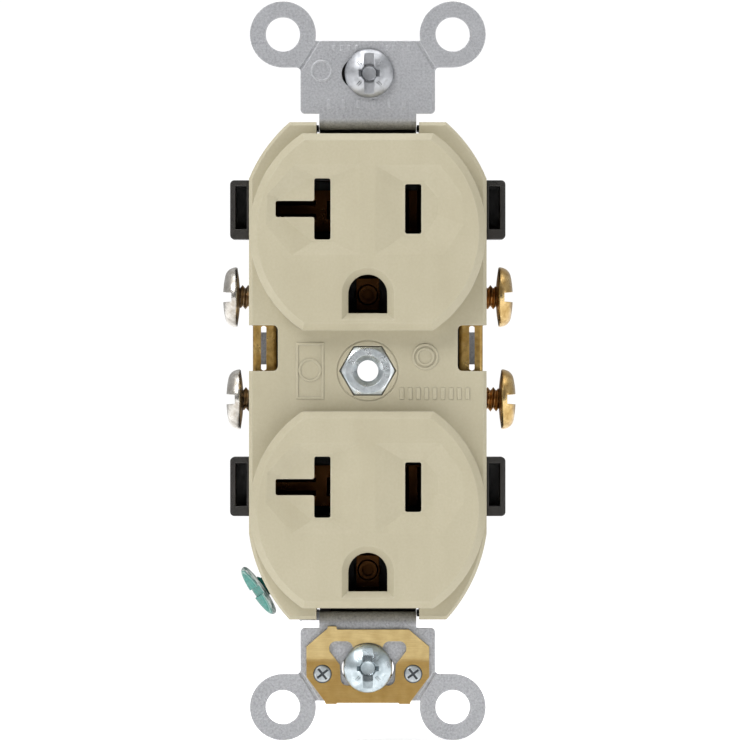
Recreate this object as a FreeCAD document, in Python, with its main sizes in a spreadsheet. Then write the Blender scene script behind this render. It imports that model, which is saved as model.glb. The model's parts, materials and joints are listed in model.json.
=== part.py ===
import FreeCAD, Part
import math
import os
import Sketcher
from FreeCAD import Placement, Rotation, Vector

# Duplex receptacle, 20 A 125 V, 2 poles and ground, in a wrap-around steel strap.
#
# Frame: +X to the right seen from the front, +Y into the wall, +Z up, millimetres.
# The origin is on the axis of the cover-plate screw, in the plane of the strap ears' rear faces.

# Driving dimensions: word, value, what it is.
DIMENSIONS = [
    # layout of the device
    ("box_screw_pitch", 83.34, "between the two box screws"),
    ("face_pitch", 38.9, "between the centres of the two receptacle faces"),
    ("blade_rise", 3.18, "blade slots' centre line above the face centre"),
    ("pin_drop", 8.71, "ground hole's centre below the face centre"),
    ("blade_out", 6.35, "blade slots' distance from the middle"),
    ("terminal_mid", 3.18, "height of the plane that the bus bars are symmetric about"),
    ("terminal_half", 7.2, "terminal screws above and below that plane"),
    ("contact_half", 19.44, "contacts above and below that plane"),
    ("terminal_back", 10.5, "terminal screws' axis behind the ears"),
    # depths, measured back from the ears' rear faces
    ("face_front", 6.3, "receptacle faces in front of the ears"),
    ("web_front", 2.2, "cover's web in front of the ears"),
    ("cover_back", 4.5, "parting plane of cover and body"),
    ("body_back", 21.0, "rear of the body"),
    ("chamber_back", 16.3, "floor of the body's chambers"),
    # cover
    ("cover_half", 16.65, "half width of the cover"),
    ("cover_top", 34.85, "cover's end above and below the middle"),
    ("top_corner_wide", 10.95, "half width where the top corners begin"),
    ("top_corner_high", 26.9, "height where the top corners end"),
    ("top_corner_round", 21.0, "radius of the top corners"),
    ("low_corner_wide", 11.0, "half width where the bottom corners begin"),
    ("low_corner_high", 22.8, "depth where the bottom corners end"),
    ("low_corner_round", 22.5, "radius of the bottom corners"),
    ("notch_half", 7.2, "half width of the strap's notch in the cover"),
    ("cover_notch", 33.2, "notch floor of the cover above the middle"),
    ("body_notch_half", 6.9, "half width of the strap's notch in the body"),
    ("body_notch", 33.7, "notch floor of the body above the middle"),
    ("slit_high", 33.85, "top of the slits beside the strap above the middle"),
    ("body_inset", 0.3, "body's outline inside the cover's"),
    ("face_round", 16.5, "radius of a receptacle face"),
    ("face_flat", 13.75, "flats of a receptacle face from its centre"),
    ("face_bevel", 0.95, "bevel round a receptacle face"),
    ("web_bevel", 0.45, "bevel round the web"),
    ("slot_wide", 2.27, "width of the blade slots"),
    ("hot_slot_tall", 6.94, "height of the hot slot"),
    ("neutral_slot_tall", 8.56, "height of the neutral T slot"),
    ("neutral_slot_out", 12.9, "end of the T slot's side leg from the middle"),
    ("slot_round", 0.3, "corner radius of the slots"),
    ("pin_hole_wide", 5.45, "width of the ground hole"),
    ("pin_hole_low", 2.7, "ground hole's flat side below its centre"),
    ("pin_funnel", 0.95, "funnel round the ground hole"),
    ("facet_deep", 0.85, "depth of the facets that lead to a slot"),
    ("facet_rim", 0.35, "ledge between the facets and the slot"),
    ("window_in", 12.6, "side window's inner wall from the middle"),
    ("window_half", 3.2, "half height of the side window"),
    ("window_round", 0.7, "corner radius of the side window"),
    ("hex_flats", 6.94, "hex pocket across its flats"),
    ("hex_deep", 1.6, "depth of the hex pocket"),
    ("ring_groove", 4.24, "radius of the fine groove round the hex pocket"),
    ("mark_high", 0.16, "raised lines on the web"),
    # body
    ("wing_out", 19.35, "outer side of the wings from the middle"),
    ("wing_half", 4.15, "half height of a wing"),
    ("wing_front", 3.4, "front of the wings behind the ears"),
    ("wing_back", 14.0, "rear of the wings"),
    ("wing_wall", 0.75, "wall of the wings"),
    ("wing_deep", 7.5, "depth of the wings' pockets"),
    ("wire_hole", 1.7, "radius of the wire entries"),
    # strap
    ("strap_thick", 1.3, "thickness of the strap"),
    ("strap_mark_high", 0.12, "raised lines on the strap"),
    ("neck_half", 6.8, "half width of the strap's neck and rear run"),
    ("plate_half", 9.43, "half width of the end plates"),
    ("plate_low", 36.05, "inner edge of the end plates"),
    ("plate_top", 46.25, "outer edge of the end plates"),
    ("ear_out", 11.9, "ear holes from the middle"),
    ("ear_high", 47.15, "ear holes above and below the middle"),
    ("ear_round", 4.63, "outer radius of the ears"),
    ("ear_hole", 2.4, "radius of the ear holes"),
    ("screw_slot_long", 7.3, "length of the box screw slots"),
    ("screw_slot_half", 2.08, "half width of the box screw slots"),
    ("wall_in", 33.8, "strap's end walls from the middle"),
    ("arm_out", 15.5, "strap's rear arms from the middle"),
    ("arm_half", 2.28, "half width of the strap's rear arms"),
    # screws, 6-32
    ("thread_round", 1.75, "outside radius of the thread"),
    ("thread_deep", 0.45, "depth of the thread"),
    ("thread_pitch", 0.794, "pitch of the thread"),
    ("fit_gap", 0.05, "radial clearance of the running fits"),
    ("box_head", 3.43, "head radius of the box screws"),
    ("box_head_high", 2.0, "head height of the box screws"),
    ("box_screw_long", 25.4, "length of the box screws under the head"),
    ("box_neck", 1.3, "radius of the box screws' plain neck"),
    ("top_head_gap", 0.15, "top box screw's head off the strap"),
    ("bottom_head_gap", 0.2, "bottom box screw's head off the clip"),
    ("top_washer_half", 3.9, "half width of the top retaining washer"),
    ("bottom_washer_half", 3.4, "half width of the bottom one, between the clip's rivets"),
    ("top_screw_shift", 0.2, "top box screw's place in its slot, to the right of the middle"),
    ("box_neck_long", 3.0, "length of the plain neck"),
    ("terminal_head", 4.25, "head radius of the terminal screws"),
    ("terminal_head_high", 2.35, "head height of the terminal screws"),
    ("terminal_screw_long", 5.0, "terminal screw's thread under the head"),
    ("terminal_slot_wide", 1.42, "driver slot of the terminal screws"),
    ("terminal_slot_deep", 1.2, "depth of that slot"),
    ("ground_head", 3.95, "head radius of the ground screw"),
    ("ground_head_high", 1.1, "its head's height"),
    ("ground_screw_long", 5.6, "its thread under the head"),
    ("ground_slot_deep", 0.6, "depth of its driver slot"),
    ("head_dish", 0.2, "rise of a terminal head's underside from its middle to its rim"),
    ("journal_round", 1.1, "journal that carries the clamp plate"),
    ("upper_neutral_out", 18.06, "underside of that screw's head from the middle"),
    ("lower_neutral_out", 17.6, "the same, lower neutral screw"),
    ("upper_hot_out", 18.1, "the same, upper hot screw"),
    ("lower_hot_out", 18.5, "the same, lower hot screw"),
    # bus bars
    ("bus_out", 16.15, "outer side of the terminal plates from the middle"),
    ("bus_thick", 1.05, "thickness of the terminal plates"),
    ("bus_floor_back", 16.1, "rear of the bus bars"),
    ("bus_floor_thick", 0.9, "thickness of the bus bars' floor"),
    ("leaf_thick", 0.6, "thickness of the contact leaves"),
    ("clamp_thick", 1.0, "thickness of the clamp plates"),
    ("tab_front", 2.5, "front of the break-off tabs behind the ears"),
    ("tab_in", 12.8, "inner edge of the break-off tabs from the middle"),
    # ground contacts
    ("contact_base", 13.6, "front of the ground contacts' base behind the ears"),
    ("contact_rivet", 1.05, "radius of the ground rivets at the contact"),
    # ground screw: its head's underside, and the direction that it points away in
    ("ground_x", -14.93, "middle of the ground screw head's underside, sideways"),
    ("ground_y", 9.4, "the same, back"),
    ("ground_z", -30.67, "the same, up"),
    ("ground_angle", 214.5, "ground screw's direction seen from the front, degrees"),
    ("ground_tilt", 10.5, "its tilt towards the front, degrees"),
    ("ground_tab_gap", 2.6, "head's underside to the strap's ground tab"),
    # self-grounding clip
    ("clip_thick", 0.5, "thickness of the clip"),
    ("clip_bend", 40.4, "bend line of the clip below the middle"),
    ("clip_tilt", 4.0, "lift of the clip's free part, degrees"),
    ("clip_rivet_out", 6.35, "clip rivets from the middle"),
    ("clip_rivet_low", 42.47, "clip rivets below the middle"),
    ("clip_rivet_head", 1.3, "head radius of the clip rivets"),
]

doc = FreeCAD.newDocument("duplex_receptacle")
sheet = doc.addObject("Spreadsheet::Sheet", "Dims")
for row, (word, number, meaning) in enumerate(DIMENSIONS, start=1):
    sheet.set(f"A{row}", meaning)
    sheet.set(f"B{row}", str(number))
    sheet.setAlias(f"B{row}", word)
doc.recompute()

WORDS = sorted((word for word, _, _ in DIMENSIONS), key=len, reverse=True)
parts = []


# ---------------------------------------------------------------- helpers

def value(formula):
    """The number that a formula in the sheet's words gives."""
    return float(sheet.evalExpression(str(formula)))


def bound(formula):
    """The same formula with each of the sheet's words written as Dims.word."""
    text = str(formula)
    out = ""
    position = 0
    while position < len(text):
        for word in WORDS:
            if text.startswith(word, position):
                out += "Dims." + word
                position += len(word)
                break
        else:
            out += text[position]
            position += 1
    return out


def new_body(label):
    body = doc.addObject("PartDesign::Body", label)
    body.Label = label
    parts.append(body)
    return body


def new_sketch(body, plane, offset="0", name="profile"):
    """Sketch on one of the body's own planes, moved along the plane's normal by a formula."""
    sketch = body.newObject("Sketcher::SketchObject", f"{body.Name}_{name}")
    origin_plane = [item for item in body.Origin.OriginFeatures if item.Role == plane][0]
    sketch.AttachmentSupport = [(origin_plane, "")]
    sketch.MapMode = "FlatFace"
    sketch.AttachmentOffset = Placement(Vector(0, 0, value(offset)), Rotation())
    sketch.setExpression("AttachmentOffset.Base.z", bound(offset))
    return sketch


def pin_point(sketch, geometry, vertex, across, up):
    """Hold a vertex of the sketch at the two formulas."""
    for kind, formula in (("DistanceX", across), ("DistanceY", up)):
        index = sketch.addConstraint(Sketcher.Constraint(kind, -1, 1, geometry, vertex, value(formula)))
        sketch.setExpression(f"Constraints[{index}]", bound(formula))


def arc_between(start, end, radius):
    """Arc of a circle from start to end: a positive radius turns left, a negative one right."""
    middle = (start + end) * 0.5
    chord = end - start
    side = Vector(-chord.y, chord.x, 0).normalize()
    reach = math.sqrt(max(radius * radius - chord.Length ** 2 / 4, 0))
    turn = 1 if radius > 0 else -1
    centre = middle + side * reach * turn
    first = math.atan2(start.y - centre.y, start.x - centre.x)
    last = math.atan2(end.y - centre.y, end.x - centre.x)
    circle = Part.Circle(centre, Vector(0, 0, 1), abs(radius))
    if turn > 0:
        return Part.ArcOfCircle(circle, first, last)
    return Part.ArcOfCircle(circle, last, first)


def hold_arc(sketch, side, start, chord, radius):
    """Hold an arc by its radius, or a half circle, whose radius its ends already give, by its centre."""
    if abs(chord.Length - 2 * value(radius)) > 0.01:
        number = sketch.addConstraint(Sketcher.Constraint("Radius", side, value(radius)))
        formula = radius
    else:
        level = abs(chord.y) < abs(chord.x)
        kind = "DistanceY" if level else "DistanceX"
        formula = start[1] if level else start[0]
        number = sketch.addConstraint(Sketcher.Constraint(kind, -1, 1, side, 3, value(formula)))
    sketch.setExpression(f"Constraints[{number}]", bound(formula))


def outline(sketch, points, arcs=None):
    """Closed outline through points given as pairs of formulas. arcs gives the radius formula of the
    side that begins at a point's index, positive where it turns left."""
    arcs = arcs or {}
    corners = [Vector(value(across), value(up), 0) for across, up in points]
    count = len(corners)
    first_side = sketch.GeometryCount
    starts = []
    for index in range(count):
        start, end = corners[index], corners[(index + 1) % count]
        if index in arcs:
            radius = value(arcs[index])
            sketch.addGeometry(arc_between(start, end, radius), False)
            starts.append((1, 2) if radius > 0 else (2, 1))
        else:
            sketch.addGeometry(Part.LineSegment(start, end), False)
            starts.append((1, 2))
    for index in range(count):
        side = first_side + index
        following = (index + 1) % count
        joint = Sketcher.Constraint(
            "Coincident", side, starts[index][1], first_side + following, starts[following][0]
        )
        sketch.addConstraint(joint)
        pin_point(sketch, side, starts[index][0], *points[index])
        if index in arcs:
            chord = corners[following] - corners[index]
            hold_arc(sketch, side, points[index], chord, arcs[index].lstrip("-"))


def circle(sketch, across, up, radius):
    geometry = sketch.addGeometry(
        Part.Circle(Vector(value(across), value(up), 0), Vector(0, 0, 1), value(radius)), False
    )
    pin_point(sketch, geometry, 3, across, up)
    number = sketch.addConstraint(Sketcher.Constraint("Radius", geometry, value(radius)))
    sketch.setExpression(f"Constraints[{number}]", bound(radius))


def rectangle(sketch, left, right, low, high):
    outline(sketch, [(left, low), (right, low), (right, high), (left, high)])


def obround(sketch, left, right, up, half):
    """Slot with round ends: left and right are its ends."""
    low, high = f"{up} - {half}", f"{up} + {half}"
    near, far = f"{left} + {half}", f"{right} - {half}"
    outline(sketch, [(near, low), (far, low), (far, high), (near, high)], {1: half, 3: half})


def pad(body, sketch, length, reverse=False, middle=False):
    feature = body.newObject("PartDesign::Pad", f"{sketch.Name}_pad")
    feature.Profile = sketch
    feature.Length = value(length)
    feature.setExpression("Length", bound(length))
    feature.Reversed = reverse
    feature.Midplane = middle
    sketch.Visibility = False
    return feature


def pocket(body, sketch, length, reverse=False, middle=False):
    feature = body.newObject("PartDesign::Pocket", f"{sketch.Name}_pocket")
    feature.Profile = sketch
    feature.Length = value(length)
    feature.setExpression("Length", bound(length))
    feature.Reversed = reverse
    feature.Midplane = middle
    sketch.Visibility = False
    return feature


def revolve(body, sketch):
    """Turn a sketch about its own vertical axis."""
    feature = body.newObject("PartDesign::Revolution", f"{sketch.Name}_turned")
    feature.Profile = sketch
    feature.ReferenceAxis = (sketch, ["V_Axis"])
    feature.Angle = 360
    return feature


def pick_edges(feature, test):
    """Names of the feature's edges whose middle passes the test."""
    doc.recompute()
    names = []
    for number, edge in enumerate(feature.Shape.Edges, start=1):
        middle = edge.valueAt((edge.FirstParameter + edge.LastParameter) / 2)
        if test(middle, edge):
            names.append(f"Edge{number}")
    return names


def soften(body, feature, names, size, kind="Fillet"):
    """Fillet or chamfer the named edges of a feature."""
    change = body.newObject(f"PartDesign::{kind}", f"{feature.Name}_{kind.lower()}")
    change.Base = (feature, names)
    quantity = "Radius" if kind == "Fillet" else "Size"
    setattr(change, quantity, value(size))
    change.setExpression(quantity, bound(size))
    return change


def thread_rings(body, last, radius, first, length):
    """Cut V grooves round a shank that lies on the body's Z axis, one for each turn of the thread."""
    sketch = new_sketch(body, "XZ_Plane", name="thread")
    half = "thread_pitch * 0.42"
    outline(sketch, [
        (f"{radius} + 0.1", f"{first} - {half}"),
        (f"{radius} + 0.1", f"{first} + {half}"),
        (f"{radius} - thread_deep", first),
    ])
    groove = body.newObject("PartDesign::Groove", f"{body.Name}_groove")
    groove.Profile = sketch
    groove.ReferenceAxis = (sketch, ["V_Axis"])
    groove.Angle = 360
    turns = int(value(length) / value("thread_pitch"))
    pattern = body.newObject("PartDesign::LinearPattern", f"{body.Name}_turns")
    pattern.Originals = [groove]
    pattern.Direction = (sketch, ["V_Axis"])
    pattern.Reversed = True
    pattern.Length = (turns - 1) * value("thread_pitch")
    pattern.setExpression("Length", f"{turns - 1} * Dims.thread_pitch")
    pattern.Occurrences = turns
    body.Tip = pattern
    return pattern


def signed(side, formula):
    """The formula on the right (side 1) or the left (side -1)."""
    return formula if side > 0 else f"-({formula})"


def span(side, inner, outer):
    """Inner and outer formula of one side, in rising order of X."""
    if side > 0:
        return inner, outer
    return f"-({outer})", f"-({inner})"


def shell_outline(sketch, inset, notch, half):
    """Outline of the cover, or of the body with an inset, with the strap's notches in its ends."""
    wide = f"cover_half - {inset}"
    top = f"cover_top - {inset}"
    outline(sketch, [
        (half, notch), (half, top), ("top_corner_wide", top),
        (wide, "top_corner_high"), (wide, "-low_corner_high"),
        ("low_corner_wide", f"-({top})"), (half, f"-({top})"), (half, f"-({notch})"),
        (f"-{half}", f"-({notch})"), (f"-{half}", f"-({top})"), ("-low_corner_wide", f"-({top})"),
        (f"-({wide})", "-low_corner_high"), (f"-({wide})", "top_corner_high"),
        ("-top_corner_wide", top), (f"-{half}", top), (f"-{half}", notch),
    ], {2: "-top_corner_round", 4: "-low_corner_round", 10: "-low_corner_round", 12: "-top_corner_round"})


FACES = (("upper", "face_pitch / 2"), ("lower", "-face_pitch / 2"))
SIDES = (("hot", 1), ("neutral", -1))


# ---------------------------------------------------------------- cover

def facet_loft(body, name, outer, inner):
    """Sink a faceted funnel from an outer polygon on the face to an inner one round the slot."""
    rim = new_sketch(body, "XZ_Plane", "face_front + 0.01", f"{name}_rim")
    outline(rim, outer)
    seat = new_sketch(body, "XZ_Plane", "face_front - facet_deep", f"{name}_seat")
    outline(seat, inner)
    loft = body.newObject("PartDesign::SubtractiveLoft", f"{name}_facets")
    loft.Profile = rim
    loft.Sections = [seat]
    loft.Ruled = True
    rim.Visibility = False
    seat.Visibility = False
    return loft


def make_front_cover():
    body = new_body("front_cover")

    web = new_sketch(body, "XZ_Plane", "-cover_back", "web")
    shell_outline(web, "0", "cover_notch", "notch_half")
    pad(body, web, "cover_back + web_front - web_bevel")
    # the web's bevelled edge
    edge_back = new_sketch(body, "XZ_Plane", "web_front - web_bevel", "edge_back")
    shell_outline(edge_back, "0", "cover_notch", "notch_half")
    edge_front = new_sketch(body, "XZ_Plane", "web_front", "edge_front")
    shell_outline(edge_front, "web_bevel", "cover_notch", "notch_half")
    bevel = body.newObject("PartDesign::AdditiveLoft", "web_edge")
    bevel.Profile = edge_back
    bevel.Sections = [edge_front]
    bevel.Ruled = True

    faces = new_sketch(body, "XZ_Plane", "web_front", "faces")
    flat_half = "sqrt(face_round * face_round - face_flat * face_flat)"
    for _, centre in FACES:
        high, low = f"{centre} + face_flat", f"{centre} - face_flat"
        outline(faces, [
            (f"-({flat_half})", low), (flat_half, low), (flat_half, high), (f"-({flat_half})", high),
        ], {1: "face_round", 3: "face_round"})
    bosses = pad(body, faces, "face_front - web_front")
    face_plane = -value("face_front")
    edges = pick_edges(bosses, lambda at, edge: abs(at.y - face_plane) < 0.01)
    soften(body, bosses, edges, "face_bevel", "Chamfer")

    through = "face_front + cover_back + 1"
    half = "slot_wide / 2"
    for name, centre in FACES:
        blade = f"{centre} + blade_rise"
        hot = new_sketch(body, "XZ_Plane", "face_front", f"{name}_hot_slot")
        rectangle(hot, f"blade_out - {half}", f"blade_out + {half}",
                  f"{blade} - hot_slot_tall / 2", f"{blade} + hot_slot_tall / 2")
        pocket(body, hot, through)
        neutral = new_sketch(body, "XZ_Plane", "face_front", f"{name}_neutral_slot")
        outline(neutral, [
            (f"-blade_out + {half}", f"{blade} - neutral_slot_tall / 2"),
            (f"-blade_out + {half}", f"{blade} + neutral_slot_tall / 2"),
            (f"-blade_out - {half}", f"{blade} + neutral_slot_tall / 2"),
            (f"-blade_out - {half}", f"{blade} + {half}"),
            ("-neutral_slot_out", f"{blade} + {half}"),
            ("-neutral_slot_out", f"{blade} - {half}"),
            (f"-blade_out - {half}", f"{blade} - {half}"),
            (f"-blade_out - {half}", f"{blade} - neutral_slot_tall / 2"),
        ])
        pocket(body, neutral, through)
        pin = f"{centre} - pin_drop"
        ground = new_sketch(body, "XZ_Plane", "face_front", f"{name}_ground_hole")
        outline(ground, [
            ("-pin_hole_wide / 2", f"{pin} - pin_hole_low"), ("pin_hole_wide / 2", f"{pin} - pin_hole_low"),
            ("pin_hole_wide / 2", pin), ("-pin_hole_wide / 2", pin),
        ], {2: "pin_hole_wide / 2"})
        holes = pocket(body, ground, through)

    def slot_corner(at, edge):
        upright = abs(edge.tangentAt(edge.FirstParameter).y) > 0.99 and edge.Length > 2
        inside = abs(at.x) < value("neutral_slot_out") + 0.1 and abs(at.x) > value("blade_out - slot_wide")
        level = min(abs(at.z - value(f"{c} + blade_rise")) for _, c in FACES)
        return upright and inside and level < value("neutral_slot_tall") / 2 + 0.1
    rounded = soften(body, holes, pick_edges(holes, slot_corner), "slot_round")

    def pin_rim(at, edge):
        level = min(abs(at.z - value(f"{c} - pin_drop")) for _, c in FACES)
        return abs(at.y - face_plane) < 0.01 and abs(at.x) < 3 and level < 3
    soften(body, rounded, pick_edges(rounded, pin_rim), "pin_funnel", "Chamfer")

    for name, centre in FACES:
        blade = f"{centre} + blade_rise"
        for pole, side in SIDES:
            slot_half = "neutral_slot_tall / 2" if side < 0 else "hot_slot_tall / 2"
            near = "blade_out - slot_wide / 2 - facet_rim"
            far = "blade_out + slot_wide / 2 + facet_rim"
            low, high = f"{blade} - {slot_half} - facet_rim", f"{blade} + {slot_half} + facet_rim"
            tip = "neutral_slot_out - 0.5" if side < 0 else "blade_out + 3.4"
            broad = "14.3" if side < 0 else "13.5"
            tip_half = "slot_wide / 2 + facet_rim"
            outer = [
                ("1.0", f"{centre} - 3.3"), ("10.6", f"{centre} - 3.3"), (broad, f"{centre} + 0.96"),
                (f"{broad} - 0.2", f"{centre} + 5.17"), ("10.2", f"{centre} + 9.37"),
                ("1.0", f"{centre} + 9.37"),
            ]
            inner = [
                (near, low), (far, low), (tip, f"{blade} - {tip_half}"),
                (tip, f"{blade} + {tip_half}"), (far, high), (near, high),
            ]
            outer = [(signed(side, across), up) for across, up in outer]
            inner = [(signed(side, across), up) for across, up in inner]
            facet_loft(body, f"{name}_{pole}", outer, inner)

    chambers = new_sketch(body, "XZ_Plane", "-cover_back", "chambers")
    for _, centre in FACES:
        blade = f"{centre} + blade_rise"
        rectangle(chambers, "blade_out - 2.6", "blade_out + 2.6", f"{blade} - 4.6", f"{blade} + 4.6")
        rectangle(chambers, "-neutral_slot_out - 0.7", "-blade_out + 2.6", f"{blade} - 5.2", f"{blade} + 5.2")
        pin = f"{centre} - pin_drop"
        pin_half = "pin_hole_wide / 2 + 0.8"
        rectangle(chambers, f"-({pin_half})", pin_half, f"{pin} - 3.9", f"{pin} + 3.9")
    pocket(body, chambers, "cover_back + face_front - 2.4", reverse=True)

    windows = new_sketch(body, "XZ_Plane", "web_front", "windows")
    for _, side in SIDES:
        left, right = span(side, "window_in", "cover_half + 1")
        rectangle(windows, left, right, "terminal_mid - window_half", "terminal_mid + window_half")
    opened = pocket(body, windows, "web_front + cover_back + 1")

    def window_corner(at, edge):
        upright = abs(edge.tangentAt(edge.FirstParameter).y) > 0.99
        level = abs(abs(at.z - value("terminal_mid")) - value("window_half")) < 0.01
        return upright and level and abs(abs(at.x) - value("window_in")) < 0.01
    soften(body, opened, pick_edges(opened, window_corner), "window_round")
    # seats behind the windows for the ends of the break-off tabs
    seats = new_sketch(body, "XZ_Plane", "-cover_back", "tab_seats")
    for _, side in SIDES:
        left, right = span(side, "window_in", "bus_out + 0.1")
        seat_half = "(window_half + 0.95)"
        rectangle(seats, left, right, f"terminal_mid - {seat_half}", f"terminal_mid + {seat_half}")
    pocket(body, seats, "cover_back - tab_front + 0.2", reverse=True)

    pocket_hex = new_sketch(body, "XZ_Plane", "web_front", "hex")
    reach = "hex_flats / sqrt(3)"
    outline(pocket_hex, [
        (reach, "0"), (f"{reach} / 2", "hex_flats / 2"), (f"-{reach} / 2", "hex_flats / 2"),
        (f"-{reach}", "0"), (f"-{reach} / 2", "-hex_flats / 2"), (f"{reach} / 2", "-hex_flats / 2"),
    ])
    pocket(body, pocket_hex, "hex_deep")
    shank = new_sketch(body, "XZ_Plane", "web_front", "shank")
    circle(shank, "0", "0", "2.45")
    pocket(body, shank, "web_front + cover_back + 1")
    ring = new_sketch(body, "XZ_Plane", "web_front", "ring")
    circle(ring, "0", "0", "ring_groove + 0.09")
    circle(ring, "0", "0", "ring_groove - 0.09")
    pocket(body, ring, "0.12")

    marks = new_sketch(body, "XZ_Plane", "web_front - 0.3", "marks")
    for inset in ("0", "0.32"):
        rectangle(marks, f"-10.05 + {inset}", f"-6.15 - {inset}", f"-3.95 + {inset}", f"3.95 - {inset}")
    for across, up, radius in (("-8.1", "0.1", "1.62"), ("8.06", "1.98", "1.84"), ("8.06", "1.98", "1.29")):
        circle(marks, across, up, radius)
        circle(marks, across, up, f"{radius} - 0.3")
    for tick in range(9):
        rectangle(marks, f"4.5 + {tick} * 1.15", f"5.05 + {tick} * 1.15", "-4.0", "-2.35")
    pad(body, marks, "mark_high + 0.3")
    return body


# ---------------------------------------------------------------- body

def make_back_body():
    body = new_body("back_body")
    block = new_sketch(body, "XZ_Plane", "-cover_back", "block")
    shell_outline(block, "body_inset", "body_notch", "body_notch_half")
    pad(body, block, "body_back - cover_back", reverse=True)
    slits = new_sketch(body, "XZ_Plane", "-cover_back", "slits")
    for _, side in SIDES:
        left, right = span(side, "neck_half", "notch_half")
        rectangle(slits, left, right, "cover_notch", "slit_high")
        rectangle(slits, left, right, "-slit_high", "-cover_notch")
    pocket(body, slits, "body_back - cover_back + 1")

    wings = new_sketch(body, "XZ_Plane", "-wing_front", "wings")
    for _, centre in FACES:
        blade = f"{centre} + blade_rise"
        for _, side in SIDES:
            left, right = span(side, "cover_half - body_inset - 1", "wing_out")
            rectangle(wings, left, right, f"{blade} - wing_half", f"{blade} + wing_half")
    solid = pad(body, wings, "wing_back - wing_front", reverse=True)
    # the part of the wings that would lie inside the cover's edge
    trim = new_sketch(body, "XZ_Plane", "-wing_front", "trim")
    for _, centre in FACES:
        blade = f"{centre} + blade_rise"
        for _, side in SIDES:
            left, right = span(side, "cover_half - body_inset - 2", "cover_half + 0.12")
            rectangle(trim, left, right, f"{blade} - wing_half - 1", f"{blade} + wing_half + 1")
    trimmed = pocket(body, trim, "cover_back - wing_front")

    def wing_corner(at, edge):
        along = abs(edge.tangentAt(edge.FirstParameter).y) > 0.99
        return along and abs(abs(at.x) - value("wing_out")) < 0.01
    soften(body, trimmed, pick_edges(trimmed, wing_corner), "0.6")
    hollows = new_sketch(body, "XZ_Plane", "-wing_front", "hollows")
    for _, centre in FACES:
        blade = f"{centre} + blade_rise"
        for _, side in SIDES:
            left, right = span(side, "cover_half + 0.35", "wing_out - wing_wall")
            rectangle(hollows, left, right, f"{blade} - 2.75", f"{blade} + 3.3")
    pocket(body, hollows, "wing_deep")

    floor = "chamber_back - cover_back"
    chambers = new_sketch(body, "XZ_Plane", "-cover_back", "chambers")
    for _, side in SIDES:
        for turn in ("", "-"):
            def level(formula):
                return f"terminal_mid + {formula}" if turn == "" else f"terminal_mid - ({formula})"
            inner, outer = "3.9", "13.0"
            points = [
                (inner, level("contact_half - 4.1")), (outer, level("contact_half - 4.1")),
                (outer, level("terminal_half + 4.2")), ("7.9", level("terminal_half + 4.2")),
                ("7.9", level("window_half - 0.05")), ("cover_half + 0.3", level("window_half - 0.05")),
                ("cover_half + 0.3", level("terminal_half + 4.35")), ("15.0", level("terminal_half + 4.35")),
                ("15.0", level("contact_half + 4.1")), (inner, level("contact_half + 4.1")),
            ]
            outline(chambers, [(signed(side, across), up) for across, up in points])
    for _, centre in FACES:
        pin = f"{centre} - pin_drop"
        rectangle(chambers, "-3.4", "3.4", f"{pin} - 4.1", f"{pin} + 4.1")
    pocket(body, chambers, floor)

    channels = new_sketch(body, "XZ_Plane", "-cover_back", "channels")
    for _, side in SIDES:
        left, right = span(side, "window_in + 0.5", "cover_half + 1")
        rectangle(channels, left, right, "terminal_mid - window_half", "terminal_mid + window_half")
    pocket(body, channels, "body_back - cover_back + 1")

    corner = new_sketch(body, "XZ_Plane", "-cover_back", "ground_corner")
    outline(corner, [
        ("-5.2", "-36"), ("-5.2", "-26.6"), ("-8.6", "-22.7"), ("-17.5", "-24.4"), ("-17.5", "-36"),
    ])
    pocket(body, corner, "17.6 - cover_back")

    entries = new_sketch(body, "XZ_Plane", "-chamber_back", "wire_entries")
    for _, side in SIDES:
        for turn in ("+", "-"):
            for step in ("+", "-"):
                up = f"terminal_mid {turn} terminal_half {step} 2.45"
                if (turn, step) in (("+", "-"), ("-", "+")):
                    up = f"terminal_mid {turn} terminal_half {step} 1.95"
                circle(entries, signed(side, "10.95"), up, "wire_hole")
    circle(entries, "-9.1", "-29.3", "wire_hole")
    pocket(body, entries, "body_back - chamber_back + 1")

    rivets = new_sketch(body, "XZ_Plane", "-cover_back", "rivet_holes")
    circle(rivets, "0", "0", "2.45")
    for _, centre in FACES:
        circle(rivets, "0", f"{centre} - pin_drop", "1.8")
    pocket(body, rivets, "body_back - cover_back + 1")
    return body


# ---------------------------------------------------------------- strap

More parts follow.
